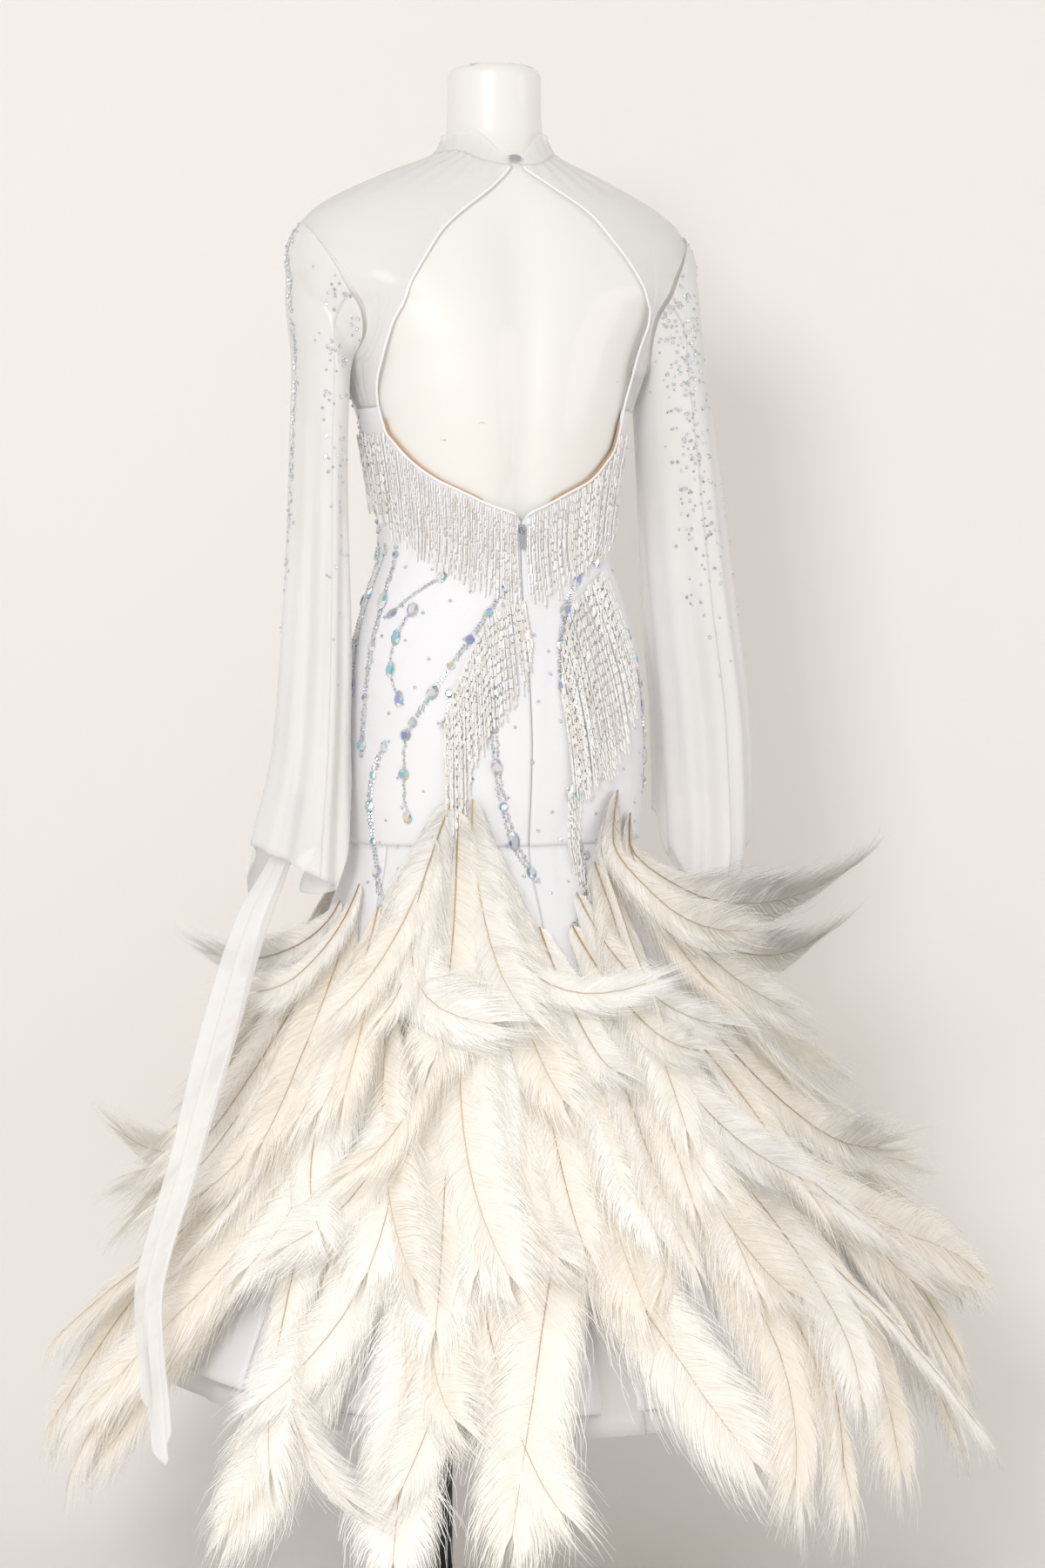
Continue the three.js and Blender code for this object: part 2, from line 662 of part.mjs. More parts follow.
// ---------------------------------------------------------------- zip

// The slider is a block with a small arch, and the pull's bar lies under the arch.
const SLIDER = { width: 6, tall: 8.5, depth: 2 };
const ARCH = { width: 1.5, tall: 6.4, rise: 4.2, bar: 1.1 };
const PULL = { width: 6.4, length: 20, thickness: 1.1, bar: 1.2, window: 5.4, opening: 3.4 };
const PIVOT_ABOVE_BLOCK = 1.5;

const SLIDER_SEAT = 1.2;         // the slider's block is flat, and the back is hollow here
const zipSeat = onGarment(BACK, ZIP_HEIGHT, EASE + SATIN + SEAM_GAP + SLIDER_SEAT);
const zipPivot = new THREE.Vector3(0, zipSeat.y + SLIDER.depth + PIVOT_ABOVE_BLOCK, ZIP_HEIGHT);

function toManifold(geometry) {
  const closed = facingOut(geometry);
  return new wasm.Manifold(new wasm.Mesh({
    numProp: 3,
    vertProperties: new Float32Array(closed.getAttribute('position').array),
    triVerts: new Uint32Array(closed.getIndex().array),
  }));
}

function fromManifold(solid) {
  const { vertProperties, triVerts } = solid.getMesh();
  const geometry = new THREE.BufferGeometry();
  geometry.setAttribute('position', new THREE.BufferAttribute(vertProperties, 3));
  geometry.setIndex(new THREE.BufferAttribute(triVerts, 1));
  geometry.computeVertexNormals();
  return geometry;
}

function sliderGeometry() {
  const { width, tall, depth } = SLIDER;
  const block = new THREE.BoxGeometry(width, depth, tall);
  block.translate(0, zipSeat.y + depth / 2, ZIP_HEIGHT);
  const outline = new THREE.Shape();
  outline.absellipse(0, 0, ARCH.tall / 2, ARCH.rise, 0, 2 * Math.PI);
  const hollow = new THREE.Path();
  hollow.absellipse(0, 0, ARCH.tall / 2 - ARCH.bar, ARCH.rise - ARCH.bar, 0, 2 * Math.PI);
  outline.holes.push(hollow);
  const arch = new THREE.ExtrudeGeometry(outline, {
    depth: ARCH.width, bevelEnabled: false, curveSegments: 8,
  });
  arch.rotateY(Math.PI / 2);
  arch.translate(-ARCH.width / 2, zipSeat.y + depth - 0.2, ZIP_HEIGHT);
  const behind = new THREE.BoxGeometry(width, 8, 2 * tall);
  behind.translate(0, zipSeat.y - 4, ZIP_HEIGHT);
  return fromManifold(toManifold(block).add(toManifold(arch)).subtract(toManifold(behind)));
}

function pullGeometry() {
  const { width, length, thickness, bar, window, opening } = PULL;
  const outline = new THREE.Shape();
  const drop = length - width / 2;
  outline.moveTo(-opening / 2 - 1, bar / 2);
  outline.lineTo(-width / 2, -drop);
  outline.absarc(0, -drop, width / 2, Math.PI, 2 * Math.PI, false);
  outline.lineTo(opening / 2 + 1, bar / 2);
  outline.closePath();
  const cut = new THREE.Path();
  cut.moveTo(-opening / 2, -bar / 2);
  cut.lineTo(opening / 2, -bar / 2);
  cut.lineTo(opening / 2, -bar / 2 - window);
  cut.lineTo(-opening / 2, -bar / 2 - window);
  cut.closePath();
  outline.holes.push(cut);
  const plate = new THREE.ExtrudeGeometry(outline, {
    depth: thickness, bevelEnabled: false, curveSegments: 6,
  });
  plate.rotateX(Math.PI / 2);
  plate.translate(0, zipPivot.y + thickness / 2, ZIP_HEIGHT);
  return facingOut(plate);
}

function addZip() {
  add('zip_slider', sliderGeometry(), COLOUR.metal, 0.3, 1);
  add('zip_pull', pullGeometry(), COLOUR.metal, 0.3, 1);
}

// ---------------------------------------------------------------- beaded fringes

const FRINGE_CLEAR = 2.2;
const FRINGE_OUTER_EDGE = 110;

// A fringe that hangs all along the keyhole's lower edge, on from the binding's outer side.
function waistFringe(sign, rows) {
  const [top, bottom] = ['top', 'bottom'].map((name) => smoothCurve(rows, 'angle', name));
  return wall(12, 3, (u, v, side) => {
    const angle = mix(rows[0].angle, FRINGE_OUTER_EDGE, u);
    const height = mix(top(angle) - BINDING_WIDTH - 1, bottom(angle), v);
    return onGarment(BACK - sign * angle, height, EASE + SATIN + FRINGE_CLEAR + BEADS * side);
  });
}

// A fringe that hangs from a slanting line of stones, and swings out from the hip at its foot.
function hipFringe(rows, columns, swing) {
  const steps = rows.map((row, i) => ({ ...row, step: i / (rows.length - 1) }));
  const [angle, height, endAngle, endHeight] = ['angle', 'height', 'endAngle', 'endHeight']
    .map((name) => smoothCurve(steps, 'step', name));
  return wall(columns, 4, (u, v, side) => onSkirt(
    mix(angle(u), endAngle(u), v),
    mix(height(u), endHeight(u), v),
    SATIN + FRINGE_CLEAR + swing * v + BEADS * side,
  ));
}

function addFringes() {
  add('fringe_waist_left', waistFringe(1, WAIST_FRINGE_LEFT), COLOUR.beads, 0.3);
  add('fringe_waist_right', waistFringe(-1, WAIST_FRINGE_RIGHT), COLOUR.beads, 0.3);
  add('fringe_hip_left', hipFringe(HIP_FRINGE_LEFT, 6, 1), COLOUR.beads, 0.3);
  add('fringe_hip_right', hipFringe(HIP_FRINGE_RIGHT, 6, 1), COLOUR.beads, 0.3);
  add('fringe_tail_right', hipFringe(TAIL_FRINGE_RIGHT, 1, 6), COLOUR.beads, 0.3);
}

// ---------------------------------------------------------------- tiers of plumes

const PLUME_SECTORS = table(['name', 'from', 'to'], [
  ['back_left', 0, 90], ['back_right', 90, 180], ['front_right', 180, 270],
  ['front_left', 270, 360],
]);
const TIP_SCALLOP = 14;

// A tier is the space its plumes reach: it starts close on the skirt and lifts away from it.
function tierGeometry(tier, from, to) {
  return wall(6, 3, (u, v, side) => {
    const inset = degreesFor(SEAM_GAP, from, tier.foot);
    const angle = wrapped(mix(from + inset, to - inset, u));
    const zigzag = tier.name === 'upper' ? plumeRoot(angle) : tier.top;
    const foot = tier.foot + TIP_SCALLOP * Math.cos(radians(8 * angle));
    const height = mix(zigzag, foot, v);
    const along = (tier.top - height) / (tier.top - tier.foot);
    const lift = mix(ROOT_LIFT, tier.lift, along ** 1.2);
    const thickness = mix(tier.rootThickness, tier.tipThickness, along);
    const folds = FOLD_DEPTH * smoothstep(FLARE_HEIGHT - height, 0, FLARE_HEIGHT - HEM_HEIGHT);
    return onGarment(angle, height, EASE + SATIN + folds + lift + thickness * side);
  });
}

function addPlumes() {
  for (const tier of TIERS) {
    for (const { name, from, to } of PLUME_SECTORS) {
      add(`plumes_${tier.name}_${name}`, tierGeometry(tier, from, to), COLOUR.plume, 0.9);
    }
  }
}

addForm();
addPanels();
addSkirt();
addYoke();
addEdges();
addSleeves();
addZip();
addFringes();
addPlumes();

export default dress;
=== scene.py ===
# %% [markdown]
# # A ballroom dance dress on a dress form
# The gown has an open keyhole back, sheer bell sleeves, bead fringe, lines of stones and tiers
# of ostrich plumes. It stands on a limbless form with a round base. Each cloth piece below lies
# where its plain solid lies in the frame, because both come from the same short tables.

# %% Load the frame
import math

import bmesh
import bpy
import numpy as np
from mathutils import Matrix, Vector


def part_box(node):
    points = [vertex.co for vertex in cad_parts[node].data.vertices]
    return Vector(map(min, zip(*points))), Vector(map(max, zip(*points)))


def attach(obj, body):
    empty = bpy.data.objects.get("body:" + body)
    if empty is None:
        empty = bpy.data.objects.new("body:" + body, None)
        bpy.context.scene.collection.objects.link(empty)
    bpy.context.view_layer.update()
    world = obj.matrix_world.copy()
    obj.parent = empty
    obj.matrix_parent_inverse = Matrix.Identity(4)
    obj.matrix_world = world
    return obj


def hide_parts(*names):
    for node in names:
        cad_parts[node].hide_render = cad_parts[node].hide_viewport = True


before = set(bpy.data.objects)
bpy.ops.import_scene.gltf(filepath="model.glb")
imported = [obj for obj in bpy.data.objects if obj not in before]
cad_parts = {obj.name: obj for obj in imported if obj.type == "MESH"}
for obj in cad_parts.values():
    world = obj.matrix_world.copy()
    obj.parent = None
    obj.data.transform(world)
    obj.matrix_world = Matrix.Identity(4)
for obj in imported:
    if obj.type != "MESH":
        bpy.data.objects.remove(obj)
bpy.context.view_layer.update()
BODY = "dress"
MM = 0.001
print("nodes in the frame:", len(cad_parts))

# %% [markdown]
# ## The sizes that the whole dress is drawn from
# A dressmaker works from level girths. Each row here gives half the width of the figure, and
# its depth before and behind the axis. The tables are in millimetres, as a tape measure is,
# and every point is turned into metres once, when a mesh is made.

# %% Level sections of the form and of the skirt
FORM = [
    # height, side, front, back
    (1600, 48, 48, 48), (1565, 50, 50, 50), (1545, 60, 54, 55), (1523, 110, 60, 62),
    (1500, 160, 66, 70), (1488, 181, 70, 74), (1476, 195, 73, 78), (1460, 204, 78, 84),
    (1440, 208, 84, 90), (1415, 204, 92, 96), (1385, 182, 102, 101), (1355, 165, 110, 104),
    (1320, 152, 118, 104), (1280, 138, 116, 102), (1240, 129, 106, 96), (1200, 122, 94, 88),
    (1150, 117, 86, 82), (1100, 131, 92, 88), (1050, 145, 100, 101), (1000, 152, 105, 113),
    (950, 154, 106, 118), (900, 153, 106, 114), (850, 150, 106, 108), (790, 146, 104, 104),
]
SKIRT = [
    # height, side, front, back, shift toward +X
    (850, 150, 106, 108, 0), (780, 172, 142, 138, -3), (700, 205, 176, 172, -8),
    (600, 255, 228, 225, -15), (500, 305, 282, 280, -22), (420, 350, 328, 328, -28),
    (350, 390, 365, 365, -32), (280, 412, 386, 386, -32), (200, 422, 396, 396, -32),
]
EASE, MESH_EASE = 2.2, 3.8         # between the form and the satin, and the form and the mesh
SATIN, MESH = 1.6, 1.0             # room that each cloth takes in the frame
FLARE, HEM, NET_HEM = 850, 342, 324
FOLDS, FOLD_DEPTH = 10, 13
BACK = 90                          # the centre back, in degrees from +X


def curve(rows, column, key=0):
    """A smooth curve through a table's rows that never overshoots them."""
    x, y = np.array(sorted((row[key], row[column]) for row in rows), float).T
    step = np.diff(y) / np.diff(x)
    slope = np.zeros(len(x))
    for i in range(1, len(x) - 1):
        if step[i - 1] * step[i] > 0:
            slope[i] = 2 * step[i - 1] * step[i] / (step[i - 1] + step[i])

    def at(value):
        value = np.clip(np.asarray(value, float), x[0], x[-1])
        i = np.clip(np.searchsorted(x, value, side="right") - 1, 0, len(x) - 2)
        wide = x[i + 1] - x[i]
        t = (value - x[i]) / wide
        return ((1 + 2 * t) * (1 - t) ** 2 * y[i] + t * (1 - t) ** 2 * wide * slope[i]
                + t * t * (3 - 2 * t) * y[i + 1] + t * t * (t - 1) * wide * slope[i + 1])

    return at


def mix(a, b, t):
    return a + (b - a) * t


def smooth(value, low, high):
    t = np.clip((value - low) / (high - low), 0, 1)
    return t * t * (3 - 2 * t)


def bell(value, middle, width):
    return np.exp(-((value - middle) / width) ** 2)


form_rows = [(*row, 0) for row in FORM]
garment_rows = [row for row in form_rows if row[0] > FLARE] + SKIRT
form_curves = [curve(form_rows, column) for column in (1, 2, 3, 4)]
garment_curves = [curve(garment_rows, column) for column in (1, 2, 3, 4)]
FORM_CUP, CLOTH_CUP = 5, 9
print("sections:", len(form_rows), "on the form,", len(garment_rows), "on the garment")

# %% [markdown]
# ## Points on the figure
# `section` gives a point by its angle and height. `on` moves it out, square to the surface, so
# that satin, mesh, beads and plumes can be laid over each other without touching. All of them
# take whole arrays of angles at once, which keeps a mesh of many thousand points quick.

# %% Points by angle, height and distance out
def section(curves, angle, height):
    side, front, back, shift = (c(height) for c in curves)
    turn = np.radians(angle)
    x = shift + side * np.cos(turn)
    depth = np.where(np.sin(turn) > 0, back, front)
    cup = FORM_CUP if curves is form_curves else CLOTH_CUP
    rise = cup * bell(np.abs(x), 74, 50) * bell(height, 1312, 56)
    depth = depth + rise * np.maximum(-np.sin(turn), 0)
    return np.stack([x, depth * np.sin(turn), height + 0 * x], axis=-1)


def outward(curves, angle, height):
    d = 0.5
    across = section(curves, angle + d, height) - section(curves, angle - d, height)
    along = section(curves, angle, height + d) - section(curves, angle, height - d)
    normal = np.cross(across, along)
    return normal / np.linalg.norm(normal, axis=-1, keepdims=True)


def on(curves, angle, height, out):
    angle, height = np.broadcast_arrays(np.asarray(angle, float), np.asarray(height, float))
    out = np.broadcast_to(out, angle.shape)[..., None]
    return section(curves, angle, height) + outward(curves, angle, height) * out


def fold_wave(angle, height):
    grown = smooth(FLARE - height, 0, FLARE - HEM)
    turn = np.radians(angle)
    wave = 0.75 * np.cos(FOLDS * turn + 0.7) + 0.25 * np.cos(7 * turn - 0.44)
    return FOLD_DEPTH * grown * wave


def on_dress(angle, height, out):
    """A point out from the satin, with the skirt's folds below the hips."""
    return on(garment_curves, angle, height, EASE + SATIN + fold_wave(angle, height) + out)


def ring_gap(mm, height):
    """Half a seam's gap, in degrees, on a section of this height."""
    return np.degrees(mm / garment_curves[0](height))


# %% [markdown]
# ## Materials
# Each finish is one small group of nodes round a Principled shader. Patterns that follow the
# cloth read the UV map, which is laid out in metres, so a thread has its true size on every
# piece. Values that are the same everywhere are set on the shader's own sockets.

# %% A helper for finishes
def srgb(r, g, b):
    """A colour as seen on a screen, from 0 to 255, turned into the light it stands for."""
    return tuple((c / 255 / 12.92) if c / 255 <= 0.04045 else ((c / 255 + 0.055) / 1.055) ** 2.4
                 for c in (r, g, b))


class Finish:
    """A material and a short way of adding nodes to it."""

    def __init__(self, name, colour, roughness, **sockets):
        self.material = bpy.data.materials.new(name)
        self.material.use_nodes = True
        self.tree = self.material.node_tree
        self.shader = self.tree.nodes["Principled BSDF"]
        self.shader.inputs["Base Color"].default_value = (*colour, 1)
        self.shader.inputs["Roughness"].default_value = roughness
        self.colour = (*colour, 1)
        for socket, value in sockets.items():
            self.shader.inputs[socket.replace("_", " ")].default_value = value

    def node(self, kind, inputs=None, **settings):
        made = self.tree.nodes.new(kind)
        for key, value in settings.items():
            setattr(made, key, value)
        for key, value in (inputs or {}).items():
            if isinstance(value, bpy.types.NodeSocket):
                self.tree.links.new(value, made.inputs[key])
            else:
                made.inputs[key].default_value = value
        return made

    def link(self, output, socket):
        self.tree.links.new(output, self.shader.inputs[socket])

    def coordinates(self, kind="UV"):
        return self.node("ShaderNodeTexCoord").outputs[kind]

    def tint(self, factor, colour):
        """Mixes a second colour over the finish's own, by a factor from another node."""
        mixed = self.node("ShaderNodeMix", {"Factor": factor}, data_type="RGBA")
        mixed.inputs["A"].default_value = self.colour
        mixed.inputs["B"].default_value = (*colour, 1)
        self.link(mixed.outputs["Result"], "Base Color")

    def bump(self, height, strength, distance):
        made = self.node("ShaderNodeBump", {"Height": height, "Strength": strength,
                                            "Distance": distance})
        self.link(made.outputs["Normal"], "Normal")


def ramp(finish, factor, low, high):
    made = finish.node("ShaderNodeMapRange", {"Value": factor, "From Min": low,
                                              "From Max": high})
    return made.outputs["Result"]


# %% [markdown]
# ## Cloth finishes
# Stretch satin is a tight knit: from arm's length it shows a soft sheen and hardly any grain.
# Mesh, chiffon and net are open, so they let part of the light through. A constant alpha on the
# shader gives that, and crossed threads in the bump keep the surface from looking like film.

# %% Satin, mesh, chiffon and net
def woven(name, colour, roughness, thread, depth, **sockets):
    finish = Finish(name, colour, roughness, **sockets)
    where = finish.coordinates()
    bands = []
    for direction in ("X", "Y"):
        wave = finish.node("ShaderNodeTexWave", {"Vector": where, "Scale": 1 / thread / 20},
                           bands_direction=direction)
        bands.append(wave.outputs["Fac"])
    crossed = finish.node("ShaderNodeMath", operation="MULTIPLY")
    finish.tree.links.new(bands[0], crossed.inputs[0])
    finish.tree.links.new(bands[1], crossed.inputs[1])
    finish.bump(crossed.outputs["Value"], 0.35, depth)
    cloudy = finish.node("ShaderNodeTexNoise", {"Vector": where, "Scale": 7.0, "Detail": 3.0})
    finish.tint(ramp(finish, cloudy.outputs["Fac"], 0.35, 0.9),
                tuple(c * 0.93 for c in colour))
    return finish.material


satin = woven("satin", srgb(243, 242, 245), 0.55, 0.0006, 0.0001,
              Sheen_Weight=0.2, Sheen_Roughness=0.4, Specular_IOR_Level=0.3)
mesh_cloth = woven("mesh", srgb(252, 251, 250), 0.75, 0.0009, 0.0001,
                   Alpha=0.4, Specular_IOR_Level=0.2)
chiffon = woven("chiffon", srgb(255, 254, 253), 0.8, 0.0009, 0.0001,
                Alpha=0.5, Specular_IOR_Level=0.15)
net_cloth = woven("net", srgb(244, 242, 240), 0.7, 0.0016, 0.0002,
                  Alpha=0.5, Specular_IOR_Level=0.3)
binding_cloth = woven("binding", srgb(247, 246, 247), 0.5, 0.0006, 0.0001,
                      Sheen_Weight=0.2, Sheen_Roughness=0.4)
elastic_cloth = woven("elastic", srgb(206, 160, 112), 0.7, 0.0008, 0.0002)

# %% [markdown]
# ## Hard and soft trims
# Light passes through a plume from barb to barb. A painted glow of its own stands for that.
# The plumes, beads and stones are joined from many copies, and each copy carries a number or a
# colour of its own in an attribute. The materials read it, so neighbours differ a little, as
# real ones do, with a single material on the piece.

# %% Plumes, spines, beads and stones
def varied(name, colour, other, roughness, **sockets):
    finish = Finish(name, colour, roughness, **sockets)
    shade = finish.node("ShaderNodeAttribute", attribute_name="shade")
    finish.tint(shade.outputs["Fac"], other)
    return finish


PLUME_COLOURS = srgb(255, 253, 249), srgb(247, 237, 219)
# Painted light: plumes and vanes glow faintly in their own colour, which lifts their shade.
GLOW = {"Emission_Color": (*srgb(255, 250, 240), 1), "Emission_Strength": 0.07}
plume_finish = varied("plume", *PLUME_COLOURS, 0.9, Specular_IOR_Level=0.15, **GLOW).material
spine_finish = varied("plume_spine", srgb(232, 206, 164), srgb(205, 164, 112), 0.5).material
bead_finish = varied("bugle_beads", srgb(255, 255, 254), srgb(222, 214, 204), 0.16,
                     Metallic=0.05, Specular_IOR_Level=0.9, Coat_Weight=0.8,
                     Coat_Roughness=0.06).material

# The vane behind the loose barbs: fine streaks that open toward its edge.
vane = varied("plume_vane", *PLUME_COLOURS, 0.9, Specular_IOR_Level=0.1, **GLOW)
streak_place = vane.node("ShaderNodeMapping", {"Vector": vane.coordinates(),
                                               "Scale": (30, 760, 1)})
streaks = vane.node("ShaderNodeTexNoise", {"Vector": streak_place.outputs["Vector"],
                                           "Scale": 1.0, "Detail": 2.0})
reach = vane.node("ShaderNodeAttribute", attribute_name="reach")
limit = vane.node("ShaderNodeMapRange", {"Value": reach.outputs["Fac"], "From Min": 0.1,
                                         "From Max": 1.0, "To Min": 0.12, "To Max": 0.66})
opening = vane.node("ShaderNodeMath", operation="SUBTRACT")
vane.tree.links.new(streaks.outputs["Fac"], opening.inputs[0])
vane.tree.links.new(limit.outputs["Result"], opening.inputs[1])
vane.link(ramp(vane, opening.outputs["Value"], 0.0, 0.2), "Alpha")
vane_finish = vane.material

stone = Finish("stones", srgb(220, 226, 230), 0.07, Metallic=0.55, Coat_Weight=1.0,
               Coat_Roughness=0.03, Specular_IOR_Level=1.0)
# Base colour from the tint attribute: a painted reflection of the rainbow coat on each facet.
stone_colour = stone.node("ShaderNodeAttribute", attribute_name="tint")
stone.link(stone_colour.outputs["Color"], "Base Color")
stone_finish = stone.material

# %% [markdown]
# ## The form, the metal and the paint
# The form is fibreglass with a clear gloss coat, so it takes a sharp highlight over a soft one.
# Small grey scuffs come from a stretched noise that is cut off high, which leaves only a few.

# %% Form, metal and black paint
form_finish = Finish("form_gloss", srgb(240, 239, 234), 0.34, Coat_Weight=0.6,
                     Coat_Roughness=0.07, Specular_IOR_Level=0.5)
place = form_finish.coordinates("Object")
stretched = form_finish.node("ShaderNodeMapping", {"Vector": place, "Scale": (1, 1, 2.6)})
scuff = form_finish.node("ShaderNodeTexNoise", {"Vector": stretched.outputs["Vector"],
                                                "Scale": 34.0, "Detail": 6.0})
scuffs = ramp(form_finish, scuff.outputs["Fac"], 0.72, 0.78)
chip = form_finish.node("ShaderNodeTexNoise", {"Vector": place, "Scale": 60.0, "Detail": 4.0})
chips = ramp(form_finish, chip.outputs["Fac"], 0.5, 0.56)
level = form_finish.node("ShaderNodeSeparateXYZ", {"Vector": place})
rim = ramp(form_finish, level.outputs["Z"], 1.631, 1.635)
at_rim = form_finish.node("ShaderNodeMath", operation="MULTIPLY")
form_finish.tree.links.new(chips, at_rim.inputs[0])
form_finish.tree.links.new(rim, at_rim.inputs[1])
worn = form_finish.node("ShaderNodeMath", operation="MAXIMUM")
form_finish.tree.links.new(scuffs, worn.inputs[0])
form_finish.tree.links.new(at_rim.outputs["Value"], worn.inputs[1])
form_finish.tint(worn.outputs["Value"], srgb(182, 172, 156))
orange_peel = form_finish.node("ShaderNodeTexNoise", {"Vector": place, "Scale": 60.0})
form_finish.bump(orange_peel.outputs["Fac"], 0.06, 0.0004)

metal = Finish("zip_metal", srgb(205, 207, 212), 0.22, Metallic=1.0)
brushed = metal.node("ShaderNodeTexNoise", {"Vector": metal.coordinates("Object"),
                                            "Scale": 900.0})
metal.bump(brushed.outputs["Fac"], 0.2, 0.0001)

paint = Finish("black_paint", srgb(30, 29, 27), 0.42, Specular_IOR_Level=0.5)
grain = paint.node("ShaderNodeTexNoise", {"Vector": paint.coordinates("Object"),
                                          "Scale": 160.0, "Detail": 3.0})
paint.bump(grain.outputs["Fac"], 0.15, 0.0003)
paint.tint(ramp(paint, grain.outputs["Fac"], 0.55, 0.9), srgb(58, 56, 53))

# %% [markdown]
# ## Making a piece from a grid
# A cut piece of cloth is a flat grid that is laid on the figure: bmesh makes the grid, and each
# of its points is moved to where that part of the cloth hangs. The UV map keeps the flat cut in
# metres. Solidify then gives the cloth its thickness, inward from the side that shows.

# %% Helpers for pieces
def finish_piece(mesh, name, material, nodes=()):
    piece = bpy.data.objects.new(name, mesh)
    bpy.context.scene.collection.objects.link(piece)
    if material is not None:
        mesh.materials.append(material)
    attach(piece, BODY)
    if nodes:
        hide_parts(*nodes)
    return piece


def spans(points):
    """The longest row and the longest column of a grid of points, and its area."""
    rows = np.linalg.norm(np.diff(points, axis=0), axis=-1)
    columns = np.linalg.norm(np.diff(points, axis=1), axis=-1)
    across = points[1:, :-1] - points[:-1, :-1]
    down = points[:-1, 1:] - points[:-1, :-1]
    area = np.linalg.norm(np.cross(across, down), axis=-1).sum()
    return rows.sum(axis=0).max(), columns.sum(axis=1).max(), area


def laid_grid(columns, rows, place):
    """A bmesh grid whose point at (u, v) lies at place(u, v), with v = 0 at the top."""
    bm = bmesh.new()
    uv_layer = bm.loops.layers.uv.new("UVMap")
    bmesh.ops.create_grid(bm, x_segments=columns, y_segments=rows, size=0.5, calc_uvs=True)
    flat = np.array([v.co for v in bm.verts])
    u, v = flat[:, 0] + 0.5, 0.5 - flat[:, 1]
    points = place(u, v) * MM
    lattice_u = np.linspace(0, 1, columns + 1)[:, None] + np.zeros((1, rows + 1))
    lattice_v = np.linspace(0, 1, rows + 1)[None, :] + np.zeros((columns + 1, 1))
    wide, tall, area = spans(place(lattice_u, lattice_v) * MM)
    for vert, point in zip(bm.verts, points):
        vert.co = point
    for face in bm.faces:
        for loop in face.loops:
            loop[uv_layer].uv.x *= wide
            loop[uv_layer].uv.y *= tall
    return bm, (wide, tall, area)


def face_away(bm, middle=(0.0, 0.0)):
    """Turns an open sheet so that its faces look away from an upright line."""
    bm.normal_update()
    looking = 0.0
    for face in bm.faces:
        centre = face.calc_center_median()
        looking += ((centre.x - middle[0]) * face.normal.x
                    + (centre.y - middle[1]) * face.normal.y) * face.calc_area()
    if looking < 0:
        bmesh.ops.reverse_faces(bm, faces=bm.faces)


def to_mesh(bm, name):
    mesh = bpy.data.meshes.new(name)
    bm.to_mesh(mesh)
    bm.free()
    mesh.shade_smooth()
    return mesh


def cloth(name, nodes, columns, rows, place, material, thick,
          middle=(0.0, 0.0)):
    """One cut piece of cloth, whose flat size is measured along its grid and printed."""
    bm, (wide, tall, area) = laid_grid(columns, rows, place)
    face_away(bm, middle)
    piece = finish_piece(to_mesh(bm, name), name, material, nodes)
    solid = piece.modifiers.new("thickness", "SOLIDIFY")
    solid.thickness = thick * MM
    solid.offset = -1.0
    print(f"{name}: cut {wide:.3f} by {tall:.3f} m, {area:.3f} square metres")
    return piece


# %% [markdown]
# ## The form
# A display form is moulded in one piece. It is one closed grid round the axis: a groove down
# the spine and two soft shoulder blades are pressed into the back, and the neck ends in a
# rounded block. The two open ends are filled, so the form is a real solid.

# %% Form
NECK_TOP, NECK_ROUND, FORM_FOOT = 1636, 12, 790


def form_surface(u, v):
    angle = 360 * u
    arc = np.clip((0.12 - v) / 0.12, 0, 1) * math.pi / 2
    height = np.where(v < 0.12, NECK_TOP - NECK_ROUND + NECK_ROUND * np.sin(arc),
                      mix(NECK_TOP - NECK_ROUND, FORM_FOOT, (v - 0.12) / 0.88))
    groove = -12 * bell(angle, BACK, 9) * smooth(height, 1090, 1250)
    groove = groove * (1 - smooth(height, 1440, 1520))
    blades = bell(angle, BACK - 42, 22) + bell(angle, BACK + 42, 22)
    blades = 2.2 * blades * bell(height, 1385, 75)
    seat = -5 * bell(angle, BACK, 9) * (1 - smooth(height, 950, 1050))
    side = np.maximum(bell(np.mod(angle + 180, 360), 180, 34), bell(angle, 180, 34))
    under_arm = -15 * side * smooth(height, 1290, 1340) * (1 - smooth(height, 1392, 1402))
    points = on(form_curves, angle, height, groove + blades + seat + under_arm)
    share = 1 - NECK_ROUND / 48 * (1 - np.cos(arc))
    points[..., 0] *= share
    points[..., 1] *= share
    points[..., 2] = height
    return points


bm, _ = laid_grid(128, 190, form_surface)
bmesh.ops.remove_doubles(bm, verts=bm.verts, dist=0.0002)
open_edges = [edge for edge in bm.edges if edge.is_boundary]
bmesh.ops.holes_fill(bm, edges=open_edges, sides=0)
for edge in open_edges:
    edge.smooth = False
bmesh.ops.recalc_face_normals(bm, faces=bm.faces)
form = finish_piece(to_mesh(bm, "form"), "form", form_finish.material, ["form_torso"])
print("form faces:", len(form.data.polygons))

# %% [markdown]
# ## Pole and base
# The pole is a painted steel tube and the base a heavy round plate with an eased edge. Each is
# a turned shape: a cylinder whose rims are bevelled, so that they catch a line of light.

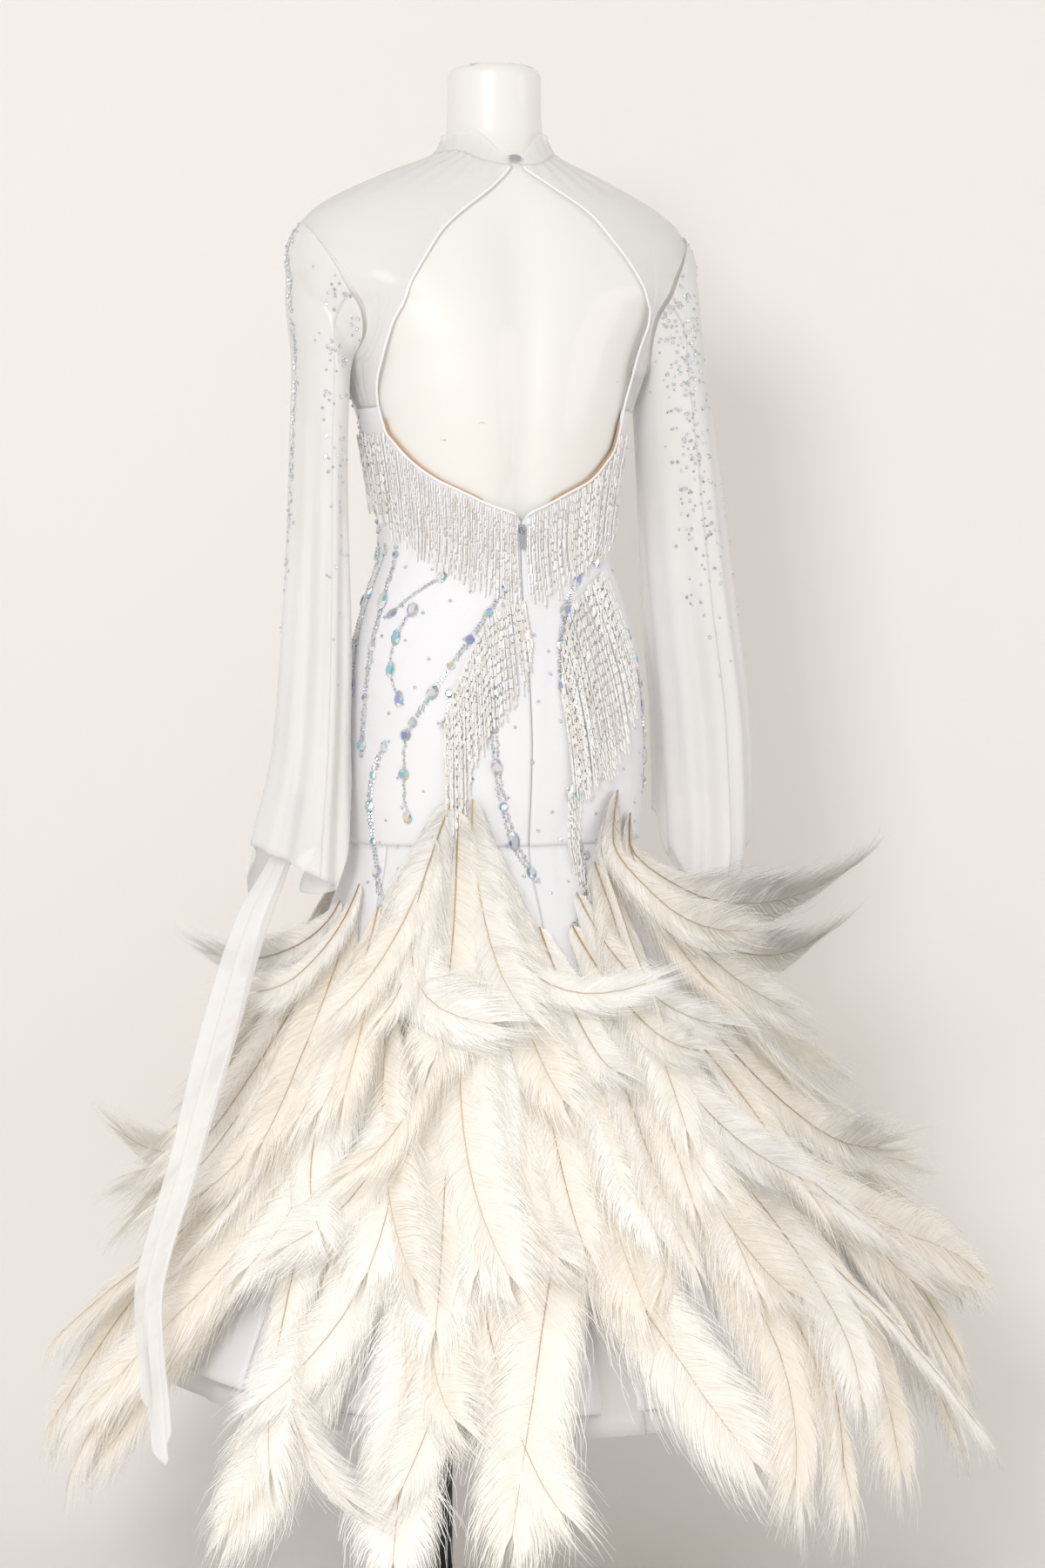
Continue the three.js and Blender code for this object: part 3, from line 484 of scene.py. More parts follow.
# %% Pole and base
def turned(name, node, radius, ease, segments):
    low, high = (Vector(corner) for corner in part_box(node))
    bm = bmesh.new()
    bmesh.ops.create_cone(bm, cap_ends=True, segments=segments, radius1=radius, radius2=radius,
                          depth=high.z - low.z)
    middle = (low + high) / 2
    bmesh.ops.translate(bm, verts=bm.verts, vec=middle)
    rims = [edge for edge in bm.edges if any(len(face.verts) > 4 for face in edge.link_faces)]
    bmesh.ops.bevel(bm, geom=rims, offset=ease, offset_type="OFFSET", affect="EDGES",
                    segments=4, profile=0.5, material=-1)
    mesh = to_mesh(bm, name)
    piece = finish_piece(mesh, name, paint.material, [node])
    for polygon in mesh.polygons:
        polygon.use_smooth = len(polygon.vertices) == 4
    return piece


turned("pole", "stand_pole", 0.0125, 0.0006, 64)
turned("base", "stand_base", 0.185, 0.003, 128)

# %% [markdown]
# ## The opening of the back
# The keyhole is one outline from the clasp at the nape to the zip: how far each edge lies from
# the centre back, in degrees, at each height. The mesh ends on it above the widest rows, and
# the satin below them.

# %% Keyhole and front edge
KEYHOLE = [
    # height, left, right
    (1535, 1, 3), (1510, 8, 14), (1485, 16, 23), (1459, 23, 28), (1438, 27, 33), (1404, 35, 43),
    (1388, 40, 50), (1370, 47, 53), (1337, 57, 53), (1303, 66, 53), (1285, 68, 54),
    (1266, 67, 55), (1253, 62, 54), (1236, 54, 47), (1217, 41, 36), (1205, 29, 24),
    (1193, 17, 13), (1179, 1.5, 1.5),
]
FRONT_EDGE = [(0, 1290), (12, 1322), (28, 1352), (48, 1374), (66, 1368), (80, 1350), (90, 1338)]
SATIN_TOP, OPENING_FOOT = 1290, 1177
keyhole = {1: curve(KEYHOLE, 1), -1: curve(KEYHOLE, 2)}
front_edge = curve(FRONT_EDGE, 1)
SIDE_NAMES = {1: "left", -1: "right"}

# %% [markdown]
# ## The fitted satin
# The bodice and hips are four panels: two fronts, each with a cup, and two backs that meet at
# the zip's seam. Small drag lines, which stretch satin shows where it is pulled over the hips, are
# soft troughs placed one by one: each has an angle, a height, a slope and a length of its own.

# %% Creases and panels
CREASES = [
    # angle, height, slope in degrees for each 100 mm, length, width in degrees, depth
    (60, 930, 10, 60, 3.0, 0.9), (76, 905, -6, 80, 2.2, 1.1), (104, 880, 5, 90, 2.4, 1.2),
    (120, 985, -14, 50, 3.2, 0.8), (98, 1010, 3, 70, 1.6, 0.8), (40, 1060, 16, 45, 3.4, 0.8),
    (142, 1120, -10, 40, 3.0, 0.7), (30, 1145, 12, 35, 3.0, 0.8), (255, 900, 6, 80, 3.0, 0.9),
    (290, 940, -8, 70, 3.2, 0.9), (225, 1000, 10, 60, 3.4, 0.8), (318, 1080, -12, 50, 3.0, 0.8),
    (270, 1180, 2, 60, 2.5, 0.7), (200, 1090, 8, 45, 3.0, 0.8), (345, 1010, -6, 60, 3.0, 0.8),
]
SEAM_DIP = 0.4


def creases(angle, height):
    around = np.mod(angle, 360)
    depth = 0.0
    for middle, level, slope, length, width, deep in CREASES:
        line = middle + slope * (height - level) / 100
        depth = depth + deep * bell(around, line, width) * bell(height, level, length)
    return depth


def back_panel(sign):
    def place(u, v):
        height = np.where(v < 0.45, mix(SATIN_TOP, OPENING_FOOT, v / 0.45),
                          mix(OPENING_FOOT, FLARE, (v - 0.45) / 0.55))
        edge = np.where(height > OPENING_FOOT + 0.5, keyhole[sign](height), 0)
        inner = np.maximum(edge, ring_gap(0.25, height))
        angle = mix(inner, 90 - ring_gap(0.15, height), u)
        dip = SEAM_DIP * bell(angle, 0, 1.2) * (height < OPENING_FOOT)
        return on_dress(BACK - sign * angle, height, -dip - creases(BACK - sign * angle, height))
    return place


def front_panel(sign):
    def place(u, v):
        height = mix(front_edge(90 * u), FLARE, v)
        inset = ring_gap(0.15, height)
        angle = -BACK + sign * (90 - mix(inset, 90 - inset, u))
        dip = SEAM_DIP * bell(u, 1, 0.03)
        return on_dress(angle, height, -dip - creases(angle, height))
    return place


for sign, side in SIDE_NAMES.items():
    cloth(f"satin_back_{side}", [f"panel_back_{side}"], 60, 110, back_panel(sign), satin,
          0.8)
    cloth(f"satin_front_{side}", [f"panel_front_{side}"], 56, 90, front_panel(sign), satin,
          0.8)

# %% [markdown]
# ## The skirt and its net
# Six gores flare from the hips. Their folds deepen toward the hem, where a stiffened band holds
# them in round curves, and one fold at the back rolls under. A net petticoat hangs inside and
# shows a little below the hem.

# %% Skirt and petticoat
GORES = [("back_left", 30, 90), ("back_right", 90, 150), ("side_right", 150, 210),
         ("front_right", 210, 270), ("front_left", 270, 330), ("side_left", 330, 390)]
HEM_BAND = 75
ROLLED_FOLDS = [(86, 26, 3.4), (38, 14, 4.5), (131, 18, 4.0), (208, 16, 4.2), (262, 20, 4.0),
                (322, 16, 4.4)]      # angle, depth, width in degrees


def hem_shape(angle, height):
    """How far the skirt's surface lies out from its even folds."""
    low = smooth(FLARE - height, 260, FLARE - HEM)
    around = np.mod(angle, 360)
    rolled = sum(depth * bell(around, middle, width) for middle, depth, width in ROLLED_FOLDS)
    band = 0.7 * (1 - smooth(height, HEM + HEM_BAND - 2, HEM + HEM_BAND + 2))
    small = 1.6 * np.sin(np.radians(23 * angle + 40 * np.sin(height / 70))) * low
    return band + small - rolled * low


def gore(start, end):
    def place(u, v):
        height = mix(FLARE, HEM, v)
        gap = ring_gap(0.15, height)
        angle = mix(start + gap, end - gap, u)
        lift = 3 * np.sin(np.radians(5 * angle)) * v
        points = on_dress(angle, height, hem_shape(angle, height) - creases(angle, height))
        points[..., 2] += lift
        return points
    return place


for name, start, end in GORES:
    cloth(f"satin_skirt_{name}", [f"skirt_{name}"], 48, 64, gore(start, end), satin,
          0.8)


def net_width(start):
    def place(u, v):
        height = mix(640, NET_HEM, v)
        angle = mix(start + 0.05, start + 89.95, u)
        wave = 3.0 * np.sin(np.radians(17 * angle)) + 1.5 * np.sin(np.radians(41 * angle))
        return on_dress(angle, height, -mix(3.5, 13, v) - SATIN + wave * v)
    return place


for name, start in (("back_left", 0), ("back_right", 90), ("front_right", 180),
                    ("front_left", 270)):
    cloth(f"net_{name}", [f"petticoat_{name}"], 90, 20, net_width(start), net_cloth, 0.5)

# %% [markdown]
# ## Yoke and collar
# The shoulders are one layer of sheer stretch mesh, pulled smooth over the form. It is gathered
# into a narrow collar that closes at the nape with a jewelled clasp. The gathers are fine
# ridges that fade out a hand's width below the collar.

# %% Yoke and collar
COLLAR_TOP, COLLAR_SIDE_FOOT, COLLAR_BACK_FOOT = 1566, 1544, 1530
ARMHOLE_HEIGHT, ARMHOLE_RADIUS, ARMHOLE_ANGLE = 1400, 66, 35


def collar_foot(angle):
    from_back = np.abs(np.mod(angle - BACK + 180, 360) - 180)
    return mix(COLLAR_BACK_FOOT, COLLAR_SIDE_FOOT, smooth(from_back, 5, 60))


def collar_top(angle):
    from_back = np.abs(np.mod(angle - BACK + 180, 360) - 180)
    return mix(COLLAR_BACK_FOOT + 8, COLLAR_TOP, smooth(from_back, 0, 42))


def armhole_angle(height):
    t = np.clip((height - ARMHOLE_HEIGHT) / ARMHOLE_RADIUS, -1, 1)
    return ARMHOLE_ANGLE * np.sqrt(1 - t * t)


def gathers(angle, height):
    near = smooth(height, 1480, 1545)
    return 0.9 * near * np.sin(np.radians(34 * angle + 60 * np.sin(angle / 9)))


def on_mesh(angle, height, out):
    return on(garment_curves, angle, height, MESH_EASE + MESH + out)


def yoke_back(sign):
    def place(u, v):
        top = collar_foot(BACK - sign * mix(4, 90, u)) - 0.2
        height = mix(top, SATIN_TOP + 0.3, v)
        outer = 90 - armhole_angle(height) - 0.05
        angle = BACK - sign * mix(keyhole[sign](height), outer, u)
        pulled = 1.2 * bell(u, 0.62, 0.05) * bell(v, 0.8, 0.2) + 0.9 * bell(u, 0.4, 0.04) * v
        return on_mesh(angle, height, gathers(angle, height) - pulled)
    return place


def yoke_front(u, v):
    from_side = 90 - np.abs(90 - 180 * u)
    rise = mix(smooth(from_side, 8, 40), 1, smooth(v, 0.8, 1))
    height = mix(collar_foot(-180 * u) - 0.2, front_edge(0) + 0.3, v)
    height = height + (front_edge(from_side) - front_edge(0)) * v * rise
    inset = armhole_angle(mix(collar_foot(0) - 0.2, front_edge(0) + 0.3, v)) + 0.05
    angle = -mix(inset, 180 - inset, u)
    return on_mesh(angle, height, gathers(angle, height))


def collar_place(u, v):
    angle = mix(BACK + 2.5, BACK + 357.5, u)
    height = mix(collar_top(angle), collar_foot(angle), v)
    ridge = 0.4 * np.sin(np.radians(26 * angle)) * np.sin(math.pi * v)
    rolled = 0.4 * bell(v, 0.03, 0.06)
    return on_mesh(angle, height, ridge + rolled)


for sign, side in SIDE_NAMES.items():
    cloth(f"mesh_yoke_{side}", [f"yoke_back_{side}"], 50, 80, yoke_back(sign), mesh_cloth,
          0.3)
cloth("mesh_yoke_front", ["yoke_front"], 90, 70, yoke_front, mesh_cloth, 0.3)
cloth("mesh_collar", ["collar"], 200, 14, collar_place, mesh_cloth, 0.5)

# %% [markdown]
# ## Sleeves and float
# Each sleeve is a long tube of chiffon from the armhole to a pointed hem, cut in a top and an
# under half. With no arm inside it
# hangs straight, nearly flat, with a few long folds. At the wearer's left a narrow float falls
# from inside the sleeve, out over the plumes and down to the hem.

# %% Sleeve tables
SLEEVES = {
    1: [  # height, middle, half width, half depth
        (1470, 170, 22, 34), (1440, 181, 33, 52), (1400, 184, 33, 58), (1334, 184, 27, 56),
        (1250, 187, 27, 58), (1100, 190, 31, 62), (950, 196, 36, 66), (850, 206, 48, 76),
        (770, 212, 56, 84)],
    -1: [
        (1470, 170, 22, 34), (1440, 181, 33, 52), (1400, 186, 33, 58), (1334, 191, 36, 58),
        (1250, 200, 40, 60), (1100, 214, 45, 64), (950, 230, 47, 68), (850, 232, 44, 74),
        (770, 224, 40, 78)],
}
HEMS = {
    1: [(0, 850), (50, 838), (110, 815), (180, 800), (230, 840), (300, 790), (360, 850)],
    -1: [(0, 862), (60, 820), (110, 788), (160, 800), (220, 870), (300, 888), (360, 862)],
}
FLOAT = [  # height, x, y, half width, fold
    (900, 212, 10, 22, 4), (840, 228, 16, 26, 5), (780, 262, 42, 34, 8), (690, 300, 80, 34, 8),
    (560, 352, 118, 26, 7), (430, 398, 180, 22, 6), (300, 404, 256, 20, 5)]


def kept_outside(points, distance):
    """Moves points out to a distance from the garment's level sections."""
    side, front, back, shift = (c(points[..., 2]) for c in garment_curves)
    depth = np.where(points[..., 1] > 0, back, front) + distance
    reach = np.hypot((points[..., 0] - shift) / (side + distance), points[..., 1] / depth)
    push = 1 / np.clip(reach, 1e-6, 1)
    moved = points.copy()
    moved[..., 0] = shift + (points[..., 0] - shift) * push
    moved[..., 1] = points[..., 1] * push
    return moved

# %% [markdown]
# A sleeve's tube starts on the armhole's round line and drops to its hem. It is pushed out of
# the bodice wherever it would pass through it.

# %% Sleeves
def sleeve(sign, first, sweep):
    middle, width, depth = (curve(SLEEVES[sign], column) for column in (1, 2, 3))
    hem = curve(HEMS[sign], 1)

    def place(u, v):
        degrees = first + sweep * u
        c, s = np.cos(np.radians(degrees)), np.sin(np.radians(degrees))
        top = ARMHOLE_HEIGHT + (ARMHOLE_RADIUS + 3) * c
        down = v ** 1.15
        height = mix(top, hem(np.mod(degrees, 360)), down)
        out = MESH_EASE + MESH + 2.4
        start = on(garment_curves, (ARMHOLE_ANGLE - 2) * s, top, out)
        grown = smooth(down, 0.1, 0.7)
        ripple = 1 + 0.1 * np.sin(np.radians(5 * degrees + 34)) * grown
        ripple = ripple + 0.05 * np.sin(np.radians(11 * degrees + 90 * down)) * grown
        hanging = np.stack([middle(height) + width(height) * ripple * c,
                            depth(height) * ripple * s, height], axis=-1)
        turn = smooth(down, 0, 0.06)[..., None]
        clearance = 5 + 32 * smooth(-height, -930, -800)
        points = kept_outside(mix(start, hanging, turn), out + clearance * turn[..., 0])
        points[..., 0] *= sign
        return points
    return place


for sign, side in SIDE_NAMES.items():
    for part, start in (("top", -90), ("under", 90)):
        cloth(f"chiffon_{part}_sleeve_{side}", [f"sleeve_{side}_{part}"], 60, 110,
              sleeve(sign, start, 180), chiffon, 0.3,
              middle=(sign * 0.195, 0.0))

# %% [markdown]
# The float is a long strip of the same chiffon, which hangs free beside the left sleeve and
# ends in a point.

# %% Float
float_x, float_y, float_half, float_fold = (curve(FLOAT, column) for column in (1, 2, 3, 4))


def float_place(u, v):
    height = mix(900, 300, v)
    x, y = float_x(height), float_y(height)
    far = np.hypot(x, y)
    across = mix(-1, 1, u) * float_half(height)
    lift = float_fold(height) * np.cos(np.radians(720 * u + 60 * v)) + 0.6
    wander = 7 * np.sin(height / 70) * smooth(v, 0.1, 0.5)
    height = height + 46 * smooth(v, 0.7, 1) * (2 * np.abs(u - 0.62)) ** 1.2
    return np.stack([x - y / far * (across + wander) + x / far * lift,
                     y + x / far * (across + wander) + y / far * lift, height], axis=-1)


cloth("chiffon_float", ["float_left"], 40, 140, float_place, chiffon, 0.3)

# %% [markdown]
# ## Bound edges and elastic
# The keyhole is bound with a narrow white roll, and a tan elastic shows just inside its lower
# half, where it grips the figure. Both are swept along the keyhole: a small ring of points is
# carried down the edge, which is a grid closed round on itself.

# %% Binding and elastic
def swept(name, node, along, radius_out, radius_side, material):
    """A rounded band: along(v) gives its middle's angle, height and distance out."""
    def place(u, v):
        turn = 2 * math.pi * u
        angle, height, out = along(v)
        middle = on(garment_curves, angle, height, out)
        d = 0.02
        ahead = on(garment_curves, *along(np.clip(v + d, 0, 1)))
        behind = on(garment_curves, *along(np.clip(v - d, 0, 1)))
        run = ahead - behind
        run = run / np.linalg.norm(run, axis=-1, keepdims=True)
        normal = outward(garment_curves, angle, height)
        beside = np.cross(run, normal)
        beside = beside / np.linalg.norm(beside, axis=-1, keepdims=True)
        return (middle + normal * (radius_out * np.sin(turn))[..., None]
                + beside * (radius_side * np.cos(turn))[..., None])

    bm, _ = laid_grid(12, 150, place)
    bmesh.ops.remove_doubles(bm, verts=bm.verts, dist=0.00002)
    bmesh.ops.holes_fill(bm, edges=[e for e in bm.edges if e.is_boundary], sides=0)
    bmesh.ops.recalc_face_normals(bm, faces=bm.faces)
    return finish_piece(to_mesh(bm, name), name, material, [node])


for sign, side in SIDE_NAMES.items():
    def binding_line(v, sign=sign):
        height = mix(COLLAR_BACK_FOOT - 2, OPENING_FOOT + 4, v)
        angle = BACK - sign * (keyhole[sign](height) + ring_gap(1.2, height))
        return angle, height, EASE + SATIN + 1.2

    def elastic_line(v, sign=sign):
        height = mix(1278, 1196, v)
        angle = BACK - sign * (keyhole[sign](height) - ring_gap(1.6, height))
        return angle, height, EASE + 0.9

    swept(f"binding_{side}", f"edge_{side}", binding_line, 1.1, 1.5, binding_cloth)
    swept(f"elastic_band_{side}", f"elastic_{side}", elastic_line, 0.8, 1.3, elastic_cloth)

# %% [markdown]
# ## Zip and clasp
# The slider, its pull and the clasp are hard and have their true shape in the frame already, so
# the CAD meshes stay and only take a finish.

# %% Finishes on the hard pieces
for node in ("zip_slider", "zip_pull", "neck_clasp"):
    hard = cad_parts[node]
    hard.data.materials.clear()
    hard.data.materials.append(metal.material)
    print(node, "keeps its", len(hard.data.polygons), "faces")

# %% [markdown]
# ## Joining many copies
# A fringe has thousands of beads and a plume hundreds of barbs. One small template is made with
# bmesh, and numpy carries its points to every copy's own axes before one mesh is filled.

# %% Copies of a template
def template(bm):
    points = np.array([v.co for v in bm.verts])
    faces = [[v.index for v in face.verts] for face in bm.faces]
    bm.free()
    return points, faces


def copies(name, shape, origins, axes, values, attribute, kind, material, nodes=()):
    """A mesh of one template at each origin: axes holds three scaled vectors for each copy.

    A number goes to the points of each copy, and a colour to each of its faces."""
    points, faces = shape
    count = len(origins)
    moved = origins[:, None, :] + np.einsum("pk,nkj->npj", points, axes)
    mesh = bpy.data.meshes.new(name)
    offsets = np.arange(count) * len(points)
    all_faces = [[i + start for i in face] for start in offsets for face in faces]
    mesh.from_pydata((moved.reshape(-1, 3) * MM).tolist(), [], all_faces)
    if kind == "FLOAT":
        layer = mesh.attributes.new(attribute, kind, "POINT")
        spread = np.repeat(values, len(points)).astype(np.float32)
        layer.data.foreach_set("value", spread)
    else:
        layer = mesh.attributes.new(attribute, kind, "FACE")
        layer.data.foreach_set("color", values.astype(np.float32).ravel())
    return finish_piece(mesh, name, material, nodes)


def unit(vectors):
    return vectors / np.linalg.norm(vectors, axis=-1, keepdims=True)


# %% [markdown]
# ## Bead fringe
# A bugle bead is a short glass tube. Five or six sides are enough at this size, because a real
# one glints in flat streaks too. Strands hang 2 mm apart from the edge or from a slanting line
# of stones, and their lengths differ by a few millimetres.

# %% Bugle beads
BEAD_LENGTH, BEAD_RADIUS, BEAD_PITCH, STRAND_GAP = 9.2, 0.82, 9.9, 2.3
WAIST = {      # degrees from the centre back, height of the fringe's ends
    1: [(4, 1088), (15, 1103), (28, 1116), (40, 1124), (47, 1138), (58, 1147), (67, 1162),
        (78, 1178), (90, 1190), (110, 1192)],
    -1: [(4, 1094), (16, 1102), (29, 1119), (38, 1130), (46, 1141), (54, 1147), (62, 1152),
         (78, 1160), (90, 1168), (110, 1172)],
}
HIP_FRINGES = {
    "fringe_hip_left": [  # angle, height, end angle, end height
        (90, 1091, 91, 1044), (88, 1090, 89, 1020), (82, 1085, 83, 992), (76, 1078, 77, 974),
        (71, 1060, 72, 955), (67, 1040, 68, 930), (63, 1015, 64, 884), (60, 1001, 61, 866),
        (57, 966, 58, 880)],
    "fringe_hip_right": [
        (140, 1122, 147, 1028), (132, 1114, 141, 985), (124, 1106, 134, 952),
        (114, 1092, 124, 924), (108, 1070, 117, 912), (104, 1045, 112, 902),
        (102, 1000, 107, 905)],
    "fringe_tail_right": [(104.5, 905, 108, 765), (110, 905, 111, 765)],
}
bm = bmesh.new()
bmesh.ops.create_cone(bm, cap_ends=True, segments=6, radius1=1, radius2=1, depth=1)
bead_shape = template(bm)

# %% [markdown]
# Each strand starts at its own height, ends a little short or long, and leans a touch. Its
# beads share a tone, with some brighter and some darker, so the fringe sparkles unevenly.

# %% A row of strands
def strands(name, node, tops, ends, seed):
    """Beads threaded from each top point to its end point, both as angle and height."""
    draw = np.random.default_rng(seed)
    centres, runs, sizes, shades = [], [], [], []
    for (angle, height), (end_angle, end_height) in zip(tops, ends):
        end_height = end_height + draw.uniform(-7, 6)
        marks = np.arange(draw.uniform(0.5, 5.5), max(height - end_height, 12), BEAD_PITCH)
        share = marks / max(height - end_height, 12)
        tone = draw.uniform(0, 0.4)
        out = draw.uniform(2.2, 4.8)
        sway = draw.normal(0, 0.35) * share
        place = on_dress(mix(angle, end_angle, share) + sway, mix(height, end_height, share),
                         out + 2.5 * share)
        top, bottom = on_dress(np.array([angle, end_angle]), np.array([height, end_height]), out)
        down = (bottom - top) / np.linalg.norm(bottom - top)
        for point in place:
            centres.append(point + draw.normal(0, 0.12, 3))
            runs.append(down + draw.normal(0, 0.035, 3))
            sizes.append(BEAD_LENGTH * draw.choice([0.55, 1, 1, 1]))
            shades.append(np.clip(tone + draw.normal(0.05, 0.28), 0, 1))
    centres, runs, sizes = np.array(centres), unit(np.array(runs)), np.array(sizes)
    side = unit(np.cross(runs, centres * [1, 1, 0] + [0.01, 0, 0]))
    axes = np.stack([side * BEAD_RADIUS, np.cross(runs, side) * BEAD_RADIUS,
                     runs * sizes[:, None]], axis=1)
    copies(name, bead_shape, centres, axes, np.array(shades), "shade", "FLOAT", bead_finish,
           [node])
    print(f"{name}: {len(tops)} strands, {len(centres)} beads")

# %% [markdown]
# The waist fringe hangs from just under the keyhole's edge down to a stepped line. Each hip
# fringe starts on a slanting line of stones, and its ends follow a curve of their own.

# %% Waist and hip fringes
def edge_height(sign, angle):
    """Where the keyhole's lower edge crosses an angle from the centre back."""
    height = np.linspace(1179, 1285, 120)
    return np.interp(angle, keyhole[sign](height), height)


def waist_strands(sign, side):
    bottom = curve(WAIST[sign], 1)
    angle, found = 2.6, []
    while angle < 110:
        found.append(angle)
        turn = math.radians(angle)
        angle += math.degrees(STRAND_GAP / math.hypot(122 * math.cos(turn), 90 * math.sin(turn)))
    found = np.array(found)
    tops = [(BACK - sign * a, min(edge_height(sign, a), 1268) - 5.5) for a in found]
    ends = [(BACK - sign * a, bottom(a)) for a in found]
    strands(f"beads_waist_{side}", f"fringe_waist_{side}", tops, ends, 11 + sign)


for sign, side in SIDE_NAMES.items():
    waist_strands(sign, side)

for seed, (node, rows) in enumerate(HIP_FRINGES.items()):
    steps = [(i / (len(rows) - 1), *row) for i, row in enumerate(rows)]
    start, level, end, low = (curve(steps, column) for column in (1, 2, 3, 4))
    count = 7 if len(rows) == 2 else 84
    share = np.linspace(0, 1, count)
    strands(node.replace("fringe", "beads"), node, list(zip(start(share), level(share))),
            list(zip(end(share), low(share))), 31 + seed)

# %% [markdown]
# ## Stones
# The stones are flat-backed crystals with a rainbow coat: small rounds in rows, with pear and
# boat shapes among them, in branches that sweep over the hips. One template, a small cone on a
# girdle with a flat table, serves for all, stretched to each outline.

# %% Stones
bm = bmesh.new()
bmesh.ops.create_circle(bm, cap_ends=True, segments=8, radius=0.5)
bmesh.ops.recalc_face_normals(bm, faces=bm.faces)
top = bmesh.ops.extrude_face_region(bm, geom=bm.faces[:])
lifted = [g for g in top["geom"] if isinstance(g, bmesh.types.BMVert)]
bmesh.ops.translate(bm, verts=lifted, vec=(0, 0, 0.12))
table = [f for f in bm.faces if all(v in lifted for v in f.verts)]
crown = bmesh.ops.extrude_face_region(bm, geom=table)
raised = [g for g in crown["geom"] if isinstance(g, bmesh.types.BMVert)]
bmesh.ops.delete(bm, geom=table, context="FACES_ONLY")
bmesh.ops.translate(bm, verts=raised, vec=(0, 0, 0.22))
bmesh.ops.scale(bm, verts=raised, vec=(0.58, 0.58, 1))
bmesh.ops.rotate(bm, verts=raised, cent=(0, 0, 0), matrix=Matrix.Rotation(math.pi / 8, 3, "Z"))
bmesh.ops.recalc_face_normals(bm, faces=bm.faces)
stone_shape = template(bm)

# %% [markdown]
# The coat sends another colour back from each facet, and that reflection is painted: each facet
# has a fixed tint of its own, mostly silver on the small stones and more of the rainbow on the
# large ones. The branches are the lines that the stones follow over the hips.

# %% Stone colours and branches
TINTS = np.array([srgb(*c) for c in (
    (232, 236, 238), (205, 212, 216), (250, 250, 250), (150, 214, 226), (170, 176, 232),
    (238, 222, 168), (222, 190, 226), (176, 182, 186))])
SILVER = [0.38, 0.24, 0.2, 0.02, 0.03, 0.02, 0.02, 0.09]
RAINBOW = [0.24, 0.12, 0.16, 0.13, 0.1, 0.12, 0.07, 0.06]
BRANCHES = [
    # three points by angle and height, spacing, large stones, rows of small stones
    ((20, 1149), (19, 1050), (16, 938), 3.7, 5, 2),
    ((52, 1118), (36, 1096), (27, 1078), 3.3, 2, 2),
    ((41, 1088), (32, 1038), (40, 990), 3.6, 4, 1),
    ((84, 1113), (66, 1052), (42, 967), 3.6, 6, 2),
    ((32, 955), (21, 880), (34, 786), 3.6, 6, 2),
    ((41, 962), (40, 910), (42, 876), 3.6, 3, 1),
    ((59, 1003), (58, 984), (56, 966), 3.6, 2, 1),
    ((77, 1011), (78, 910), (92, 811), 3.7, 6, 2),
    ((140, 1138), (112, 1096), (103, 1004), 3.4, 5, 2),
    ((118, 1010), (107, 900), (114, 838), 3.8, 4, 1),
    ((114, 838), (108, 800), (99, 765), 4.4, 3, 1),
    ((150, 1063), (158, 1000), (166, 900), 3.5, 7, 1),
    ((-12, 1150), (-11, 1090), (-11, 1029), 3.4, 3, 2),
    ((8, 1150), (2, 1080), (6, 1000), 3.6, 4, 1),
]
STONE_LIFT = 0.4


def stone_axes(place, normal, long_way, wide, tall, high):
    """Axes for a stone that lies flat on a surface, with its length along long_way."""
    long_way = unit(long_way - normal * np.sum(long_way * normal, axis=-1, keepdims=True))
    beside = np.cross(normal, long_way)
    return np.stack([beside * wide[:, None], long_way * tall[:, None],
                     normal * high[:, None]], axis=1)


def stone_tints(draw, count, size):
    """A painted reflection for each facet: silver on the small stones, and a rainbow on the large
    ones.
    """
    facets = len(stone_shape[1])
    odds = np.where(np.asarray(size)[:, None] > 5, RAINBOW, SILVER)
    steps = np.cumsum(odds / odds.sum(axis=1, keepdims=True), axis=1)
    pick = (draw.uniform(0, 1, (count, facets))[:, :, None] > steps[:, None, :]).sum(axis=2)
    tints = TINTS[np.clip(pick, 0, len(TINTS) - 1)] * draw.uniform(0.75, 1.15, (count, facets, 1))
    return np.concatenate([tints, np.ones((count, facets, 1))], axis=2).reshape(-1, 4)

# %% [markdown]
# A stone lies flat on the cloth: its axes come from the surface at that place, and its length
# turns with the line that it belongs to. A branch is spaced evenly along a smooth curve through
# three points, with a large stone every so often and one or two rows of small ones between.

# %% Stones along branches
def lay_stones(name, surface, angles, heights, runs, wide, tall, seed):
    draw = np.random.default_rng(seed)
    angles, heights = np.array(angles, float), np.array(heights, float)
    place = surface(angles, heights)
    normal = outward(garment_curves, angles, heights)
    high = np.minimum(wide, tall) * draw.uniform(0.85, 1.1, len(place))
    axes = stone_axes(place, normal, np.array(runs), wide, tall, high)
    copies(name, stone_shape, place, axes, stone_tints(draw, len(place), wide), "tint",
           "FLOAT_COLOR", stone_finish)
    print(f"{name}: {len(place)} stones")


def branch_points(a, b, c, spacing):
    """Evenly spaced angles and heights on a smooth line through three points."""
    t = np.linspace(0, 1, 200)
    bend = 2 * np.array(b) - 0.5 * (np.array(a) + np.array(c))
    line = ((1 - t) ** 2)[:, None] * a + (2 * t * (1 - t))[:, None] * bend + (t * t)[:, None] * c
    points = on_dress(line[:, 0], line[:, 1], 0)
    far = np.concatenate([[0], np.cumsum(np.linalg.norm(np.diff(points, axis=0), axis=1))])
    marks = np.arange(0, far[-1], spacing)
    return np.interp(marks, far, line[:, 0]), np.interp(marks, far, line[:, 1])


